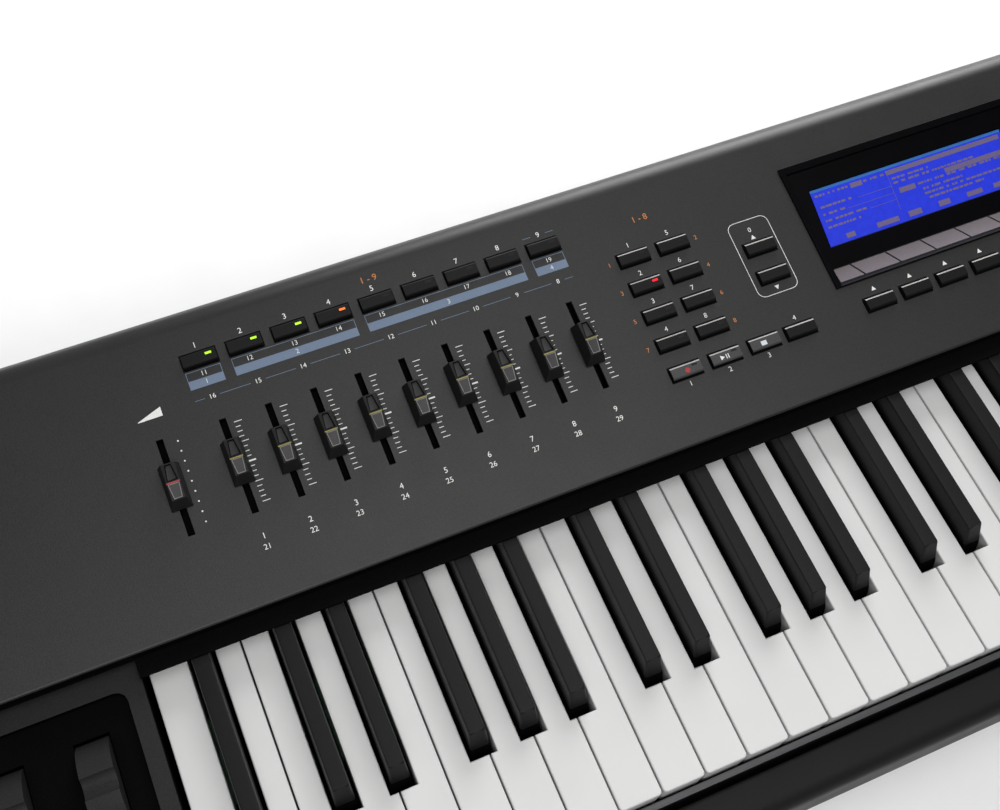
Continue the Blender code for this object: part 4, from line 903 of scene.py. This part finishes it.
# Signs on the transport caps
signs = {"row": 0.0393, "dot": 0.0015, "dotX": 0.0004, "play": 0.0016, "playX": 0.0029, "half": 0.0013,
         "bars": (-0.0004, 0.0009), "barWidth": 0.0005, "stopLeft": 0.0028, "stopRight": 0.0006}
recordDot = prism("recordDot", (transportColumns[0] + signs["dotX"], signs["row"]), signs["dot"], 24, 0,
                  capTop)
added(recordDot, "recordDot", "redInk", "transport_buttons", "buttons")
playX = transportColumns[1]
playSigns = [prism("playArrow", (playX - signs["playX"], signs["row"]), signs["play"], 3, -90, capTop)]
playSigns += [addBlock("pauseBar", (playX + x, signs["row"] - signs["half"], capTop),
                       (playX + x + signs["barWidth"], signs["row"] + signs["half"], capTop + printRise))
              for x in signs["bars"]]
added(joined("playSigns", playSigns), "playSigns", "whiteInk", "transport_buttons", "buttons")
stopX = transportColumns[2]
stopSign = addBlock("stopSign", (stopX - signs["stopLeft"], signs["row"] - signs["half"], capTop),
                    (stopX + signs["stopRight"], signs["row"] + signs["half"], capTop + printRise))
added(stopSign, "stopSign", "paleInk", "transport_buttons", "buttons")
print("stage: print")


# Lamps in the caps
lamp = {"width": 0.0033, "depth": 0.0012, "sink": 0.0002, "rise": 0.00004, "x": 0.0052, "bankV": 0.0010,
        "modeV": 0.0008, "transportV": 0.0015}


def lampsAt(name, places, finish, body):
    pieces = [addBlock(name, (x - lamp["width"] / 2, v - lamp["depth"] / 2, capTop - lamp["sink"]),
                       (x + lamp["width"] / 2, v + lamp["depth"] / 2, capTop + lamp["rise"]))
              for x, v in places]
    return added(joined(name, pieces), name, finish, body, "buttons")


bankLamps = [(x + lamp["x"], bankRow + lamp["bankV"]) for x in bankColumns]
lampsAt("bankLampsGreen", bankLamps[:3], "lampGreen", "bank_buttons")
lampsAt("bankLampOrange", bankLamps[3:4], "lampOrange", "bank_buttons")
lampsAt("bankLampsDark", bankLamps[4:], "lampDark", "bank_buttons")
modeLamps = [(x + lamp["x"], v + lamp["modeV"]) for x in modeColumns for v in rows[1:]]
lampsAt("modeLampRed", modeLamps[2:3], "lampRed", "mode_buttons")
lampsAt("modeLampsDark", modeLamps[:2] + modeLamps[3:], "lampDark", "mode_buttons")
lampsAt("transportLamps", [(x + lamp["x"], lowRow + lamp["transportV"]) for x in transportColumns[:2]],
        "lampDark", "transport_buttons")
print("stage: lamps")


# Rear: rings and contacts of the sockets, screws, plain numerals and the switch
rearTurn = (math.radians(90), 0, 0)
rearPlace = Matrix.Translation((0, rearFace, 0)) @ Matrix(((-1, 0, 0), (0, 0, 1), (0, 1, 0))).to_4x4()
switchLow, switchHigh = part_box("power_switch")
switchX = (switchLow.x + switchHigh.x) / 2
sockets = {"z": 0.040, "stand": 0.0008, "inletX": switchX - 0.034, "roundX": (-0.030, -0.004, 0.022),
           "dataX": 0.062, "roundSink": 0.0025, "pinCircle": 0.0040, "pin": 0.0006}
jackColumns = [panelStart.x + 0.240 + step * 0.010 for step in (0, 3, 7, 10, 15, 20, 23)]
nut = {"radius": 0.0064, "thick": 0.0018, "bore": 0.00476}
rim = {"radius": 0.0083, "thick": 0.0012, "bore": 0.00746}
rings = {"off": 0.0001, "boreLength": 0.02, "edge": 0.0003}


def repeatedRing(name, size, columns, finish):
    ring = addRod(name, (0, rearFace + size["thick"] / 2 + rings["off"], sockets["z"]), size["radius"],
                  size["thick"], 32, rearTurn)
    bore = addRod("bore", (0, rearFace, sockets["z"]), size["bore"], rings["boreLength"], 32, rearTurn)
    applied(ring, "BOOLEAN", object=bore, operation="DIFFERENCE", solver="EXACT")
    discard(bore)
    made = repeated(name, eased(ring, rings["edge"], 2, 40), [(x, 0, 0) for x in columns])
    finished(smoothed(dressed(made, finish)), name, "case", "supply_metal")


repeatedRing("jackNuts", nut, jackColumns, "nickel")
repeatedRing("roundSocketRims", rim, sockets["roundX"], "screwSteel")

# Five contacts in each round socket, a tongue in the data socket and three blades in the mains inlet
contacts = []
pinY = rearFace + sockets["stand"] - sockets["roundSink"] + 0.0002
for column in sockets["roundX"]:
    for step in range(5):
        angle = math.radians(180 + step * 45)
        contacts.append(addRod("contact", (column + sockets["pinCircle"] * math.cos(angle), pinY,
                                           sockets["z"] + sockets["pinCircle"] * math.sin(angle)),
                               sockets["pin"], 0.0008, 12, rearTurn))
inletY = rearFace + sockets["stand"]
blade = {"half": 0.0010, "tall": 0.0021, "sink": 0.0025, "rear": 0.0156,
         "places": ((-0.0070, 0), (0.0070, 0), (0, 0.0038))}
for x, z in blade["places"]:
    low = (sockets["inletX"] + x - blade["half"], inletY - blade["rear"], sockets["z"] + z - blade["tall"])
    high = (sockets["inletX"] + x + blade["half"], inletY - blade["sink"], sockets["z"] + z + blade["tall"])
    contacts.append(addBlock("blade", low, high))
contactRow = joined("rearContacts", contacts)
finished(smoothed(dressed(contactRow, "nickel")), "rearContacts", "case", "supply_metal")
plug = {"half": 0.0029, "tall": 0.0014, "sink": 0.0010, "rear": 0.0062, "edge": 0.0003}
tongue = addBlock("dataTongue", (sockets["dataX"] - plug["half"], rearFace - plug["rear"],
                                 sockets["z"] - plug["tall"]),
                  (sockets["dataX"] + plug["half"], rearFace - plug["sink"], sockets["z"] + plug["tall"]))
finished(dressed(eased(tongue, plug["edge"]), "paleInk"), "dataTongue", "case", "supply_metal")
screw = {"radius": 0.0030, "high": 0.0010, "edge": 0.0003, "floor": 0.0005, "above": 0.0020,
         "arms": ((0.0017, 0.0003), (0.0003, 0.0017))}


def crossScrew(turn):
    # A low round head with a cross sunk in it, facing up or turned to another side
    head = addRod("screw", (0, 0, screw["high"] / 2), screw["radius"], screw["high"], 24)
    eased(head, screw["edge"], 2, 40)
    for x, y in screw["arms"]:
        cutter = addBlock("cutter", (-x, -y, screw["floor"]), (x, y, screw["above"]))
        applied(head, "BOOLEAN", object=cutter, operation="DIFFERENCE", solver="EXACT")
        discard(cutter)
    head.data.transform(turn)
    return head


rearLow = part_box("rear_panel")[0]
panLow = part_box("bottom_pan")[0]
screwRows = {
    "rearScrews": (rearPlace, [(x, 0, rearLow.z + 0.0065) for x in (-0.64, -0.44, -0.20, 0.12, 0.34, 0.64)]),
    "panScrews": (Matrix.Translation((0, 0, panLow.z)) @ Matrix.Rotation(math.pi, 4, "X"),
                  [(x, y, 0) for x in (-0.66, -0.33, 0, 0.33, 0.66) for y in (-0.13, 0.15)]),
}
for name, (turn, places) in screwRows.items():
    screws = repeated(name, crossScrew(turn), places)
    finished(smoothed(dressed(screws, "screwSteel")), name, "case", "supply_metal")

writtenAt("rearNumerals", [mark for columns in (jackColumns, sockets["roundX"])
                           for mark in counted(1, "rear", [-x for x in columns], sockets["z"] + 0.0125)],
          "whiteInk", slotName="pan_paint", place=rearPlace)
rocker = eased(cadCopy("power_switch", "rockerKey"), 0.0005, 2, 30)
finished(smoothed(dressed(rocker, "socketBlack")), "rockerKey", "power_switch", "controls",
         "power_switch")
print("stage: rear")


# Floor and light
floorLook = {"size": 12, "dark": (0.92, 0.92, 0.92), "light": (0.94, 0.94, 0.94), "grain": 0.05, "rough": 0.9,
             "oval": (0.5, 1, 1), "fadeStart": 0.5, "fadeEnd": 1.2}
deselectAll()
bpy.ops.mesh.primitive_plane_add(size=floorLook["size"], location=(0, 0, 0))
ground = bpy.context.object
ground.name = "paleFloor"
floorMaterial, floorTree, floorShader = shaderOf("paleFloor")
paleTone = toneBetween(floorTree, grain(floorTree, floorLook["grain"]), floorLook["dark"], floorLook["light"])
floorTree.links.new(paleTone, floorShader.inputs["Base Color"])
setInputs(floorShader, {"Roughness": floorLook["rough"]})
ground.data.materials.append(floorMaterial)


def farWhite(tree, near, output):
    # The camera sees white far from the keyboard. No other ray does, so this lights nothing
    place = addNode(tree, "ShaderNodeTexCoord")
    oval = addNode(tree, "ShaderNodeVectorMath", operation="MULTIPLY")
    oval.inputs[1].default_value = floorLook["oval"]
    distance = addNode(tree, "ShaderNodeVectorMath", operation="LENGTH")
    fade = addNode(tree, "ShaderNodeMapRange")
    setInputs(fade, {"From Min": floorLook["fadeStart"], "From Max": floorLook["fadeEnd"]})
    ray = addNode(tree, "ShaderNodeLightPath")
    both = addNode(tree, "ShaderNodeMath", operation="MULTIPLY")
    white = addNode(tree, "ShaderNodeEmission", Color=(1, 1, 1, 1), Strength=1.0)
    mixed = addNode(tree, "ShaderNodeMixShader")
    for source, target in ((place.outputs["Object"], oval.inputs[0]),
                           (oval.outputs["Vector"], distance.inputs[0]),
                           (distance.outputs["Value"], fade.inputs["Value"]),
                           (fade.outputs["Result"], both.inputs[0]),
                           (ray.outputs["Is Camera Ray"], both.inputs[1]),
                           (both.outputs[0], mixed.inputs[0]), (near, mixed.inputs[1]),
                           (white.outputs[0], mixed.inputs[2]), (mixed.outputs[0], output.inputs["Surface"])):
        tree.links.new(source, target)


farWhite(floorTree, floorShader.outputs[0], floorTree.nodes["Material Output"])

lights = {
    "overhead": {"place": (0.15, -0.2, 2.6), "size": 1.5, "power": 20},
    "rear": {"place": (0.95, 2.1, 1.10), "size": 1.6, "power": 68},
    "front": {"place": (-0.8, -1.3, 2.1), "size": 1.6, "power": 29},
}
for name, light in lights.items():
    data = bpy.data.lights.new(name, "AREA")
    data.energy = light["power"]
    data.size = light["size"]
    lampObject = bpy.data.objects.new(name, data)
    lampObject.location = light["place"]
    lampObject.rotation_euler = (-Vector(light["place"])).to_track_quat("-Z", "Y").to_euler()
    bpy.context.scene.collection.objects.link(lampObject)

world = bpy.data.worlds.new("studio")
bpy.context.scene.world = world
world.use_nodes = True
tree = world.node_tree
tree.nodes.clear()
output = tree.nodes.new("ShaderNodeOutputWorld")
sky = addNode(tree, "ShaderNodeBackground", Color=(1, 1, 1, 1), Strength=0.25)
seen = addNode(tree, "ShaderNodeBackground", Color=(1, 1, 1, 1), Strength=1.0)
ray = addNode(tree, "ShaderNodeLightPath")
mixed = addNode(tree, "ShaderNodeMixShader")
for source, target in ((ray.outputs["Is Camera Ray"], mixed.inputs[0]), (sky.outputs[0], mixed.inputs[1]),
                       (seen.outputs[0], mixed.inputs[2]), (mixed.outputs[0], output.inputs["Surface"])):
    tree.links.new(source, target)
bpy.context.scene.view_settings.view_transform = "Standard"
print("stage: light")
